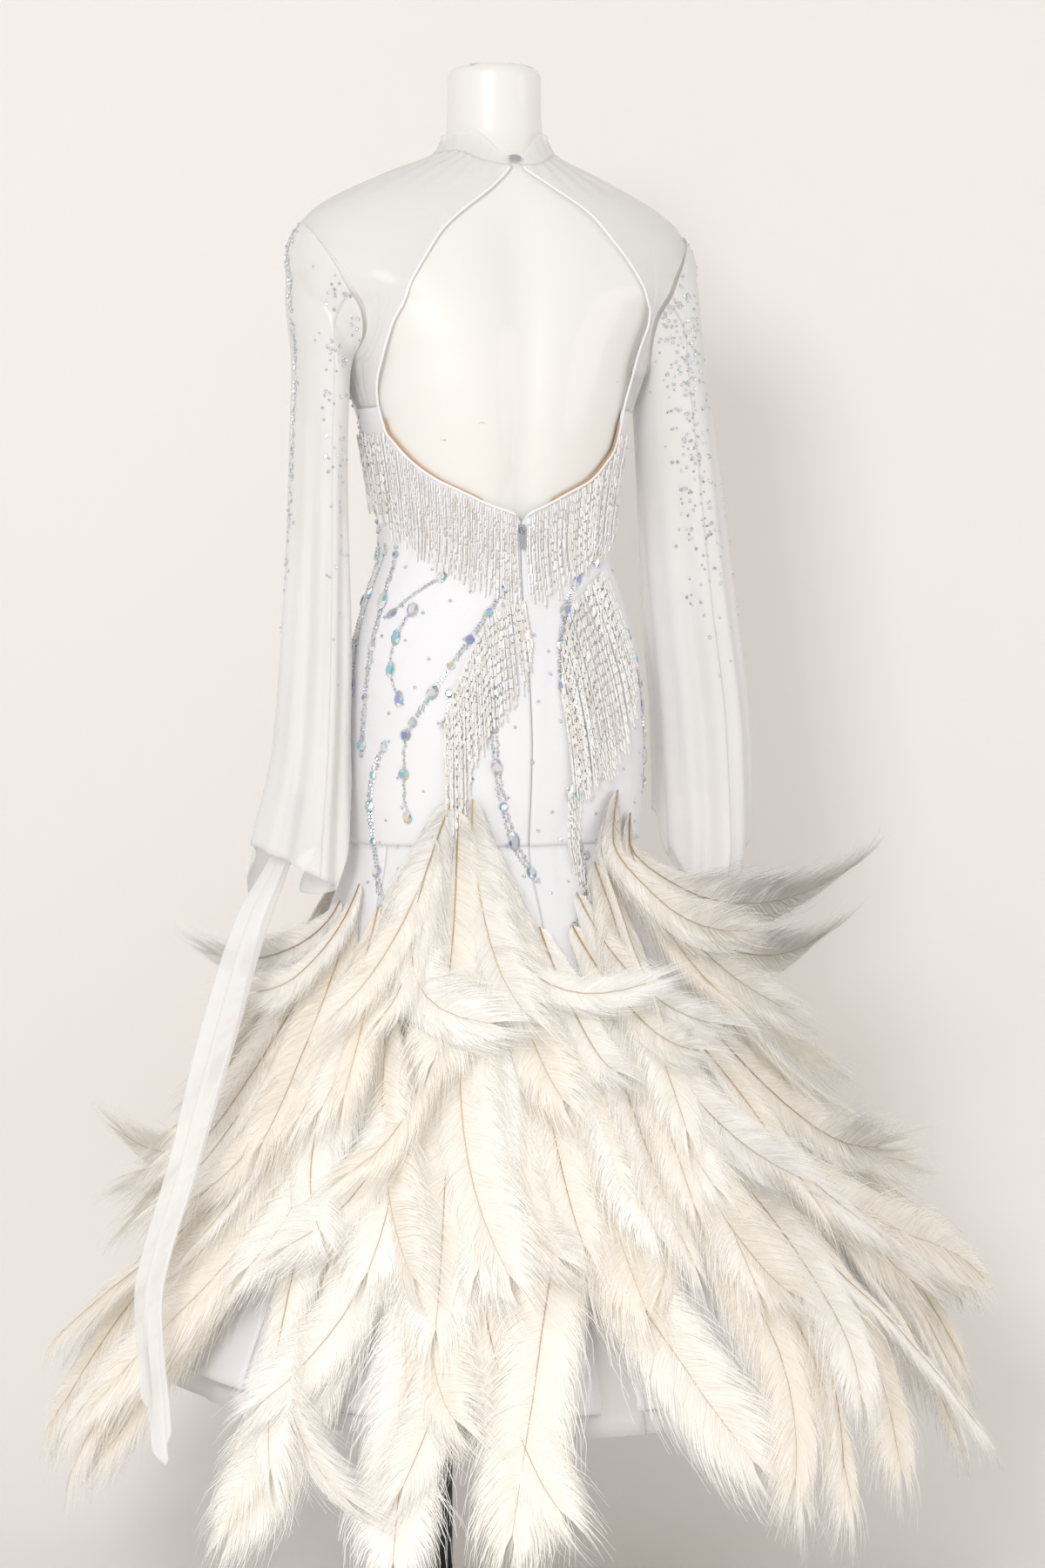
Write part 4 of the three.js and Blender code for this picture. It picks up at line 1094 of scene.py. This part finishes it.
def branches(rows, seed, name):
    draw = np.random.default_rng(seed)
    found = []
    for a, b, c, spacing, large, lines in rows:
        angle, height = branch_points(a, b, c, spacing)
        last = len(angle) - 1
        big = {int(share * last) for share in np.linspace(0.04, 0.96, large)}
        ends = on_dress(angle[[0, last]], height[[0, last]], 0)
        run = unit(ends[1] - ends[0])
        for i in range(last + 1):
            near_big = any(abs(i - k) <= 1 for k in big)
            if i in big:
                size = draw.choice([8.5, 10.0, 12.0])
                found.append((angle[i], height[i], run, size, size * draw.choice([1, 1.3, 1.7])))
            elif not near_big:
                for line in range(lines):
                    aside = (line - (lines - 1) / 2) * 4.0 + draw.normal(0, 0.5)
                    size = draw.choice([2.9, 3.3, 3.9])
                    found.append((angle[i] + aside * abs(run[2]) / 2.2, height[i] + aside *
                                  (1 - abs(run[2])), run, size, size))
    angles, heights, runs, wide, tall = (np.array(column) for column in zip(*found))
    lay_stones(name, lambda t, h: on_dress(t, h, STONE_LIFT), angles, heights, runs, wide, tall,
               seed + 1)


branches(BRANCHES, 51, "stones_hips_back")
mirrored = [tuple((360 - p[0], p[1]) for p in row[:3]) + row[3:] for row in BRANCHES[:12]
            if row[0][0] > 10]
branches(mirrored, 61, "stones_hips_front")

# %% [markdown]
# Between the branches lie single stones. Over the hips they keep apart from each other, as a
# worker would space them. On the bodice and shoulders they are thrown and then thinned.

# %% Single stones
def scattered(name, count, seed, angle_range, height_range, surface, size, odds):
    """Single stones, thrown evenly over a patch and thinned by a chance for each place."""
    draw = np.random.default_rng(seed)
    angle = draw.uniform(*angle_range, count)
    height = draw.uniform(*height_range, count)
    kept = draw.uniform(0, 1, count) < odds(angle, height)
    angle, height = angle[kept], height[kept]
    wide = draw.choice(size, len(angle))
    runs = np.tile([[0.0, 0.0, 1.0]], (len(angle), 1))
    return lay_stones(name, surface, angle, height, runs, wide, wide, seed + 1)


def spread_stones():
    """Single stones about 25 mm apart over the back of the hips."""
    draw = np.random.default_rng(71)
    found = []
    while len(found) < 120:
        angle, height = draw.uniform(18, 162), draw.uniform(800, 1130)
        place = on_dress(angle, height, 0)
        if all(np.linalg.norm(place - other[2]) > 19 for other in found):
            found.append((angle, height, place))
    angle, height = np.array([f[0] for f in found]), np.array([f[1] for f in found])
    sizes = draw.choice([3.0, 3.6], len(found))
    runs = np.tile([[0.0, 0.0, 1.0]], (len(found), 1))
    return lay_stones("stones_single", lambda t, h: on_dress(t, h, STONE_LIFT), angle, height,
                      runs, sizes, sizes, 72)


spread_stones()
scattered("stones_front_bodice", 1500, 81, (-178, -2), (1130, 1360),
          lambda t, h: on_dress(t, h, STONE_LIFT), [2.8, 3.2, 4.2, 5.5],
          lambda t, h: (0.25 + 0.75 * bell(np.abs(t + 90), 88, 26))
          * (h < front_edge(90 - np.abs(t + 90)) - 3))
scattered("stones_shoulders", 420, 91, (-170, -10), (1380, 1530),
          lambda t, h: on_mesh(t, h, STONE_LIFT), [2.8, 3.2, 4.2],
          lambda t, h: 0.7 * (armhole_angle(h) < 90 - np.abs(t + 90)))

# %% [markdown]
# The left sleeve's stones run down its outer line, and the right one's lie on the front of the
# tube. Both are thick at the shoulder and thin out to the elbow. They are placed by the
# sleeve's own surface, so they follow its folds.

# %% Stones on the sleeves
def sleeve_stones(sign, side, seed):
    draw = np.random.default_rng(seed)
    place = sleeve(sign, 180, 360)
    count = 330
    v = draw.beta(1.0, 2.2, count) * 0.7 + 0.02
    edge = draw.uniform(0, 1, count) < (0.75 if sign > 0 else 0.15)
    u = np.where(edge, draw.normal(0.52, 0.008, count), draw.normal(0.76, 0.05, count))
    d = 0.004
    points = place(u, v)
    across = place(u + d, v) - place(u - d, v)
    along = place(u, v + d) - place(u, v - d)
    normal = unit(np.cross(across, along))
    away = points - np.array([sign * 195.0, 0.0, 0.0])
    away[:, 2] = 0
    normal = normal * np.sign(np.sum(normal * away, axis=1))[:, None]
    sizes = draw.choice([2.8, 3.2, 4.0], count)
    axes = stone_axes(points, normal, along, sizes, sizes, sizes)
    copies(f"stones_sleeve_{side}", stone_shape, points + normal * 0.4, axes,
           stone_tints(draw, count, sizes), "tint", "FLOAT_COLOR", stone_finish)


for sign, side in SIDE_NAMES.items():
    sleeve_stones(sign, side, 101 + sign)

# %% [markdown]
# ## One plume
# An ostrich plume has a thin tan spine with long, soft barbs on both sides. They leave the
# spine at a wide slant and bend toward the tip, where they fan forward into a rounded end.
# Loose barbs are narrow tapered ribbons, cut from one grid. Behind them lies a vane: a strip
# on each side whose streaky transparency stands for the thousands of finer barbs.

# %% Template of a plume
PLUME_LENGTH = 300.0
BARBS, BARB_STEPS, BARB_LENGTH = 170, 4, 84


def barb(t, along, side, spread=0.0, long=1.0, droop=0.0):
    """Points of a barb that leaves the spine at t, at shares along its own length."""
    tip = smooth(t, 0.8, 1.0)
    slant = np.radians(60 - 42 * tip + spread)
    bend = np.radians(36 - 22 * tip)
    length = BARB_LENGTH * long * (1 - 0.2 * tip) * (0.4 + 0.6 * smooth(t, -0.05, 0.2))
    turned = slant - bend * along
    fall = (droop - 0.26) * along ** 2 + 0.1 * along
    return (side * length * along * np.sin(turned),
            t * PLUME_LENGTH + length * along * np.cos(turned), length * fall)


def turned_up(points, faces, start):
    """The faces of a strip, wound so that the strip looks up."""
    a, b, c = (points[k] for k in faces[0][:3])
    step = 1 if np.cross(b - a, c - b)[2] > 0 else -1
    return [[k + start for k in face[::step]] for face in faces]

# %% [markdown]
# Neighbouring barbs stick together in tufts. A smoothed row of random numbers leans them in
# groups, and each barb adds a little of its own. The vane's UV map runs along the barbs, so
# that its streaks do too.

# %% Barbs and vane
def plume_template(seed):
    """Points, faces, shade, reach along a barb, place on the vane and kind of each face."""
    draw = np.random.default_rng(seed)
    bm = bmesh.new()
    bmesh.ops.create_grid(bm, x_segments=1, y_segments=BARB_STEPS, size=0.5)
    ribbon, ribbon_faces = template(bm)
    along, across = ribbon[:, 1] + 0.5, ribbon[:, 0] * 2
    points, faces, shades, reach, flat = [], [], [], [], []
    clump = np.convolve(draw.normal(0, 1, 440), np.ones(5) / 5 ** 0.5, "same")
    for side in (-1, 1):
        for i in range(BARBS):
            t = 0.02 + 0.98 * (i + draw.uniform(-0.5, 0.5)) / BARBS
            tuft = clump[int(t * 180) + (220 if side > 0 else 0)]
            x, y, z = barb(t, along, side, 5 * tuft + draw.normal(0, 3),
                           draw.uniform(0.72, 1.1), draw.normal(0, 0.07) + 0.05 * tuft)
            width = 0.5 * (1 - 0.75 * along) * draw.uniform(0.7, 1.3)
            start = len(points) * len(ribbon)
            points.append(np.stack([x + across * width * 0.6, y - across * width * side * 0.8,
                                    z + 0.6 + across * width * draw.uniform(-0.4, 0.4)], -1))
            shades.append(np.clip(0.34 - 0.4 * along + draw.normal(0, 0.1), 0, 1))
            reach.append(np.zeros(len(ribbon)))
            flat.append(np.zeros((len(ribbon), 2)))
            faces += turned_up(points[-1], ribbon_faces, start)
    kinds = [0] * len(faces)
    bm = bmesh.new()
    bmesh.ops.create_grid(bm, x_segments=4, y_segments=20, size=0.5)
    strip, strip_faces = template(bm)
    for side in (-1, 1):
        start = sum(len(p) for p in points)
        s, t = strip[:, 0] + 0.5, strip[:, 1] + 0.5
        points.append(np.stack(barb(t, s, side), -1))
        shades.append(np.clip(0.3 - 0.3 * s, 0, 1))
        reach.append(s)
        flat.append(np.stack([s * BARB_LENGTH + 90 * side, t * PLUME_LENGTH], -1) * MM)
        faces += turned_up(points[-1], strip_faces, start)
        kinds += [2] * len(strip_faces)
    return [np.concatenate(points), faces, np.concatenate(shades), np.concatenate(reach),
            np.concatenate(flat), kinds]


def spine_template():
    bm = bmesh.new()
    bmesh.ops.create_cone(bm, cap_ends=True, segments=4, radius1=0.8, radius2=0.2,
                          depth=PLUME_LENGTH)
    rings = [edge for edge in bm.edges if abs(edge.verts[0].co.z - edge.verts[1].co.z) > 1]
    bmesh.ops.subdivide_edges(bm, edges=rings, cuts=11, use_grid_fill=True)
    bmesh.ops.translate(bm, verts=bm.verts, vec=(0, 0, PLUME_LENGTH / 2))
    points, faces = template(bm)
    return points[:, [0, 2, 1]] + [0, 0, 1.0], [face[::-1] for face in faces]


plume_kinds = [plume_template(seed) for seed in (3, 4, 5)]
spine_points, spine_faces = spine_template()
print("faces in a plume:", len(plume_kinds[0][1]) + len(spine_faces))

# %% [markdown]
# ## Where the plumes are sewn
# Plumes are sewn on in tiers over the skirt, each with its curve outward. The ones at the back
# are placed one by one: root, bend and tip, by angle and height, how far the tip stands out
# from the skirt, and a width. Loops fill the rest of each tier, with a seeded spread.

# %% Plumes placed one by one
PLACED = [
    # root, bend, tip, lift at the tip, width
    ((60, 898), (49, 752), (70, 655), 40, 1.0), ((68, 900), (70, 790), (78, 670), 36, 1.0),
    ((78, 800), (84, 716), (105, 684), 60, 0.8), ((54, 850), (44, 760), (36, 668), 44, 0.9),
    ((128, 905), (127, 800), (146, 716), 60, 1.1), ((122, 880), (116, 790), (110, 690), 34, 0.9),
    ((138, 850), (152, 762), (164, 722), 178, 1.0), ((134, 800), (154, 716), (164, 668), 118, 0.9),
    ((140, 830), (143, 740), (150, 640), 56, 0.9), ((88, 770), (92, 680), (94, 610), 36, 0.9),
    ((99, 770), (106, 690), (112, 620), 40, 0.9), ((104, 800), (110, 720), (120, 640), 44, 0.8),
    ((53, 745), (56, 640), (46, 520), 34, 1.0), ((66, 720), (64, 600), (71, 440), 32, 1.1),
    ((20, 808), (17, 740), (8, 668), 46, 1.0), ((34, 790), (38, 700), (41, 600), 34, 0.9),
    ((10, 790), (2, 730), (-12, 690), 92, 0.8), ((24, 690), (22, 600), (16, 490), 36, 0.9),
    ((33, 670), (33, 570), (42, 470), 34, 0.9), ((52, 650), (49, 560), (38, 450), 36, 1.0),
    ((104, 690), (105, 620), (101, 490), 34, 0.9), ((112, 700), (114, 600), (124, 500), 40, 0.9),
    ((124, 680), (129, 580), (124, 462), 44, 1.0), ((136, 680), (142, 570), (150, 480), 60, 1.0),
    ((76, 640), (74, 540), (78, 450), 30, 0.9), ((128, 560), (140, 470), (160, 345), 74, 1.1),
    ((118, 540), (121, 440), (116, 320), 44, 1.0), ((86, 560), (89, 440), (99, 290), 40, 1.1),
    ((104, 500), (108, 410), (104, 270), 46, 1.0), ((28, 560), (25, 460), (14, 300), 56, 1.0),
    ((8, 520), (2, 430), (-8, 318), 62, 1.0), ((50, 560), (49, 450), (40, 330), 34, 0.9),
    ((60, 600), (59, 440), (64, 330), 28, 1.0), ((40, 480), (39, 380), (52, 268), 40, 1.0),
    ((81, 500), (75, 400), (71, 240), 34, 1.1), ((67, 470), (69, 380), (76, 262), 34, 1.0),
    ((-2, 560), (-6, 520), (-14, 486), 86, 0.8), ((152, 620), (158, 540), (166, 440), 66, 1.0),
    ((146, 520), (153, 430), (168, 330), 70, 1.0), ((16, 470), (12, 380), (4, 262), 52, 1.0),
    ((128, 470), (132, 380), (140, 262), 54, 1.0), ((96, 600), (98, 520), (92, 420), 30, 0.9),
]

# %% [markdown]
# The rest of each tier goes all round in a loop: the roots follow the scalloped line where the
# satin ends, and angle, length and lean vary with a seeded draw.

# %% Rounds of plumes
ROOTS = [(-90, 742), (-50, 896), (-18, 800), (16, 796), (30, 822), (67, 901), (94, 742),
         (132, 906), (162, 800), (198, 800), (230, 896), (270, 742)]
root_height = curve(ROOTS, 1)
ROUNDS = [
    # tier, plumes round it, top and spread of roots, length, lift at the tip
    ("upper", 34, None, 30, 235, 40), ("middle", 40, 690, 30, 245, 44),
    ("lower", 44, 510, 34, 235, 46),
]
SECTORS = [("back_left", 0), ("back_right", 90), ("front_right", 180), ("front_left", 270)]


def around_tiers():
    """Plumes in rounds: the whole of each tier at the front, and the under layer at the back."""
    draw = np.random.default_rng(7)
    rows = []
    for tier, count, top, spread, length, lift in ROUNDS:
        for k in range(count):
            angle = 360 * (k + draw.uniform(-0.3, 0.3)) / count
            level = root_height((angle + 90) % 360 - 90) - 10 if top is None else top
            level = level - draw.uniform(0, spread)
            long = length * draw.uniform(0.85, 1.15)
            lean = draw.normal(0, 7)
            if tier == "lower" and 80 < angle < 100:
                continue
            under = 0.55 if 15 < angle < 165 else 1.0
            rows.append(((angle, level), (angle + lean * 0.4, level - long * 0.5),
                         (angle + lean, level - long), lift * under * draw.uniform(0.8, 1.3),
                         draw.uniform(0.85, 1.1)))
    return rows


def tier_of(root, tip):
    middle = (root[1] + tip[1]) / 2
    return "upper" if middle > 680 else "middle" if middle > 480 else "lower"


# %% [markdown]
# A plume is laid by carrying its flat template along a curve in space: the spine follows the
# curve, the barbs' sideways reach goes along the skirt and their rise goes away from it. The
# tip curls over in its last third.

# %% Laying plumes along their curves
def plume_frame(root, bend, tip, lift, curl, share):
    """Points of a spine, with its sideways and outward directions, at shares of its length."""
    def at(t):
        t = np.asarray(t, float)
        w = np.clip(t, -0.05, 1.0)
        angle = (1 - w) ** 2 * root[0] + 2 * w * (1 - w) * bend[0] + w * w * tip[0]
        height = (1 - w) ** 2 * root[1] + 2 * w * (1 - w) * bend[1] + w * w * tip[1]
        out = 5 + 8 * w + (lift - 8) * np.clip(w, 0, 1) ** 1.8
        folds = FOLD_DEPTH * smooth(FLARE - height, 0, FLARE - HEM)
        point = on(garment_curves, angle, height, EASE + SATIN + folds + out)
        end = np.clip((w - 0.68) / 0.32, 0, 1) ** 2
        point[..., 2] += curl * end
        return point

    d = 0.01
    inside = np.clip(share, 0, 1 - d)
    tangent = unit(at(inside + d) - at(inside - d))
    spine = at(share) + tangent * (np.maximum(share - 1, 0) * PLUME_LENGTH)[:, None]
    radial = at(inside) * [1, 1, 0]
    normal = unit(radial - tangent * np.sum(radial * tangent, axis=1, keepdims=True))
    return spine, np.cross(tangent, normal), normal


def kept_in(points):
    """Ease the longest tips in, so that no plume reaches far beyond the skirt's own size."""
    for axis, (low, high) in enumerate(((-536, 474), (-478, 474))):
        for sign, limit in ((-1, -low), (1, high)):
            over = np.maximum(sign * points[:, axis] - (limit - 30), 0)
            points[:, axis] += sign * (30 * (1 - np.exp(-over / 30)) - over)
    return points


def laid_plume(kind, row, draw):
    root, bend, tip, lift, width = row
    points, shades = kind[0], kind[2]
    middle = (2 * bend[0] - 0.5 * (root[0] + tip[0]), 2 * bend[1] - 0.5 * (root[1] + tip[1]))
    curl = draw.uniform(4, 16)
    roll = draw.normal(0, 0.25)
    real = np.linalg.norm(on_dress(root[0], root[1], 0) - on_dress(tip[0], tip[1], lift))
    scale = np.clip(real / 260, 0.75, 1.15) * width

    def carry(shape, wide):
        share = shape[:, 1] / PLUME_LENGTH
        spine, beside, normal = plume_frame(root, middle, tip, lift, curl, share)
        x = shape[:, 0] * math.cos(roll) - shape[:, 2] * math.sin(roll)
        z = shape[:, 0] * math.sin(roll) + shape[:, 2] * math.cos(roll)
        return kept_in(spine + beside * (x * wide)[:, None] + normal * (z * wide)[:, None])

    tone = draw.uniform(-0.15, 0.35)
    return carry(points, scale), carry(spine_points, 1.0), np.clip(shades + tone, 0, 1)


def fill_tiers(rows):
    draw = np.random.default_rng(17)
    groups = {}
    for row in rows:
        angle = row[0][0] % 360
        sector = [name for name, start in SECTORS if angle >= start][-1]
        groups.setdefault((tier_of(row[0], row[2]), sector), []).append(row)
    total = 0
    for (tier, sector), members in sorted(groups.items()):
        parts, faces, materials, start = [], [], [], 0
        for row in members:
            kind = plume_kinds[draw.integers(len(plume_kinds))]
            barbs, spine, tones = laid_plume(kind, row, draw)
            bare = np.zeros(len(spine))
            for shape, shape_faces, tone, reach, flat, kinds in (
                    (barbs, kind[1], tones, kind[3], kind[4] + draw.uniform(0, 3), kind[5]),
                    (spine, spine_faces, bare + draw.uniform(0, 1), bare,
                     np.stack([bare, bare], -1), [1] * len(spine_faces))):
                parts.append((shape, tone, reach, flat))
                faces += [[k + start for k in face] for face in shape_faces]
                materials += kinds
                start += len(shape)
        name = f"plume_group_{tier}_{sector}"
        points, tones, reaches, flats = (np.concatenate(column) for column in zip(*parts))
        mesh = bpy.data.meshes.new(name)
        mesh.from_pydata((points * MM).tolist(), [], faces)
        for attribute, values in (("shade", tones), ("reach", reaches)):
            layer = mesh.attributes.new(attribute, "FLOAT", "POINT")
            layer.data.foreach_set("value", values.astype(np.float32))
        corners = np.zeros(len(mesh.loops), dtype=np.int32)
        mesh.loops.foreach_get("vertex_index", corners)
        mesh.uv_layers.new(name="flat").data.foreach_set(
            "uv", flats[corners].astype(np.float32).ravel())
        finish_piece(mesh, name, plume_finish, [f"plumes_{tier}_{sector}"])
        mesh.materials.append(spine_finish)
        mesh.materials.append(vane_finish)
        mesh.polygons.foreach_set("material_index", materials)
        mesh.shade_smooth()
        away = unit(points * [1, 1, 0] + draw.normal(0, 50, points.shape) + [0, 0, 240])
        mesh.normals_split_custom_set_from_vertices(away.tolist())
        total += sum(len(face) - 2 for face in faces)
    print("plumes:", len(rows), "triangles:", total)


fill_tiers(PLACED + around_tiers())

# %% [markdown]
# ## The cloth's flat sizes
# Each sheet's flat cut is printed when it is made. The widths and lengths are measured along
# the threads of its own grid.

# %% [markdown]
# ## Floor, light and camera
# A high key: pale paper sweeps from the floor up behind the dress, and takes its soft shadow.
# The paper is clear when seen from its back, so it never hides the dress from the front. One
# large soft lamp stands to the viewer's left, with a weak one on the right. The camera stands
# behind the dress, a little to the wearer's left, at chest height.

# %% Paper sweep and floor
VIEW_TURN, VIEW_DISTANCE, VIEW_HEIGHT = math.radians(162), 3.0, 1.1
VIEW_PITCH, VIEW_ASIDE = math.radians(3.7), math.atan(32 / 3333)
toward = Vector((math.sin(VIEW_TURN), -math.cos(VIEW_TURN), 0))
level = -toward
aside = Vector((level.y, -level.x, 0))

bm = bmesh.new()
bmesh.ops.create_grid(bm, x_segments=2, y_segments=40, size=0.5)
for vertex in bm.verts:
    share = vertex.co.y + 0.5
    if share < 0.3:
        back, up = mix(-9.0, 0.3, share / 0.3), 0.0
    elif share < 0.8:
        turn = math.pi / 2 * (share - 0.3) / 0.5
        back, up = 0.3 + 0.36 * math.sin(turn), 0.36 * (1 - math.cos(turn))
    else:
        back, up = 0.66, mix(0.36, 7.0, (share - 0.8) / 0.2)
    vertex.co = level * back + aside * (vertex.co.x * 16) + Vector((0, 0, up))
bm.normal_update()
hidden = [face for face in bm.faces if face.normal.dot(toward + Vector((0, 0, 1))) < 0]
bmesh.ops.reverse_faces(bm, faces=hidden)
sweep_mesh = to_mesh(bm, "sweep")
sweep = bpy.data.objects.new("sweep", sweep_mesh)
bpy.context.scene.collection.objects.link(sweep)
sweep_mesh.shade_smooth()
paper = Finish("sweep_paper", srgb(248, 245, 242), 0.95, Specular_IOR_Level=0.05)
clear = paper.node("ShaderNodeBsdfTransparent")
facing = paper.node("ShaderNodeNewGeometry")
blend = paper.node("ShaderNodeMixShader")
output = paper.tree.nodes["Material Output"]
paper.tree.links.new(facing.outputs["Backfacing"], blend.inputs["Fac"])
paper.tree.links.new(output.inputs["Surface"].links[0].from_socket, blend.inputs[1])
paper.tree.links.new(clear.outputs["BSDF"], blend.inputs[2])
paper.tree.links.new(blend.outputs["Shader"], output.inputs["Surface"])
sweep_mesh.materials.append(paper.material)

bm = bmesh.new()
bmesh.ops.create_grid(bm, x_segments=1, y_segments=1, size=14.0)
bmesh.ops.translate(bm, verts=bm.verts, vec=(0, 0, -0.003))
floor_mesh = to_mesh(bm, "floor")
floor = bpy.data.objects.new("floor", floor_mesh)
bpy.context.scene.collection.objects.link(floor)
floor_mesh.materials.append(Finish("floor_paper", srgb(248, 245, 242), 0.95,
                                   Specular_IOR_Level=0.05).material)

# %% [markdown]
# The surround gives an even, neutral light from all sides. The lamps only add a direction, so
# folds and plumes keep soft shadows.

# %% Surround and lamps
world = bpy.data.worlds.new("surround")
bpy.context.scene.world = world
world.use_nodes = True
surround = world.node_tree.nodes["Background"]
surround.inputs["Color"].default_value = (*srgb(252, 251, 250), 1)
surround.inputs["Strength"].default_value = 0.68


def lamp(name, place, size, power, colour, aim=(0, 0, 1.0)):
    light = bpy.data.lights.new(name, "AREA")
    light.shape = "DISK"
    light.size = size
    light.energy = power
    light.color = colour
    holder = bpy.data.objects.new(name, light)
    holder.location = place
    holder.rotation_euler = (Vector(aim) - Vector(place)).to_track_quat("-Z", "Y").to_euler()
    bpy.context.scene.collection.objects.link(holder)


lamp("key", (1.64, 2.63, 1.95), 0.8, 38, (1.0, 0.99, 0.98))
lamp("fill", (-3.0, 2.4, 1.4), 2.0, 10, (1.0, 0.98, 0.95))

# %% [markdown]
# The camera has a slightly long lens, so the figure keeps its proportions.

# %% Camera
camera = bpy.data.objects.new("camera", bpy.data.cameras.new("camera"))
camera.data.lens = 66.7
camera.data.sensor_width = 36
camera.location = toward * VIEW_DISTANCE + Vector((0, 0, VIEW_HEIGHT))
looking = level * math.cos(VIEW_ASIDE) + aside * math.sin(VIEW_ASIDE)
looking = looking * math.cos(VIEW_PITCH) - Vector((0, 0, math.sin(VIEW_PITCH)))
camera.rotation_euler = looking.to_track_quat("-Z", "Y").to_euler()
bpy.context.scene.collection.objects.link(camera)
bpy.context.scene.camera = camera
bpy.context.scene.view_settings.view_transform = "Standard"
bpy.context.scene.cycles.transparent_max_bounces = 24
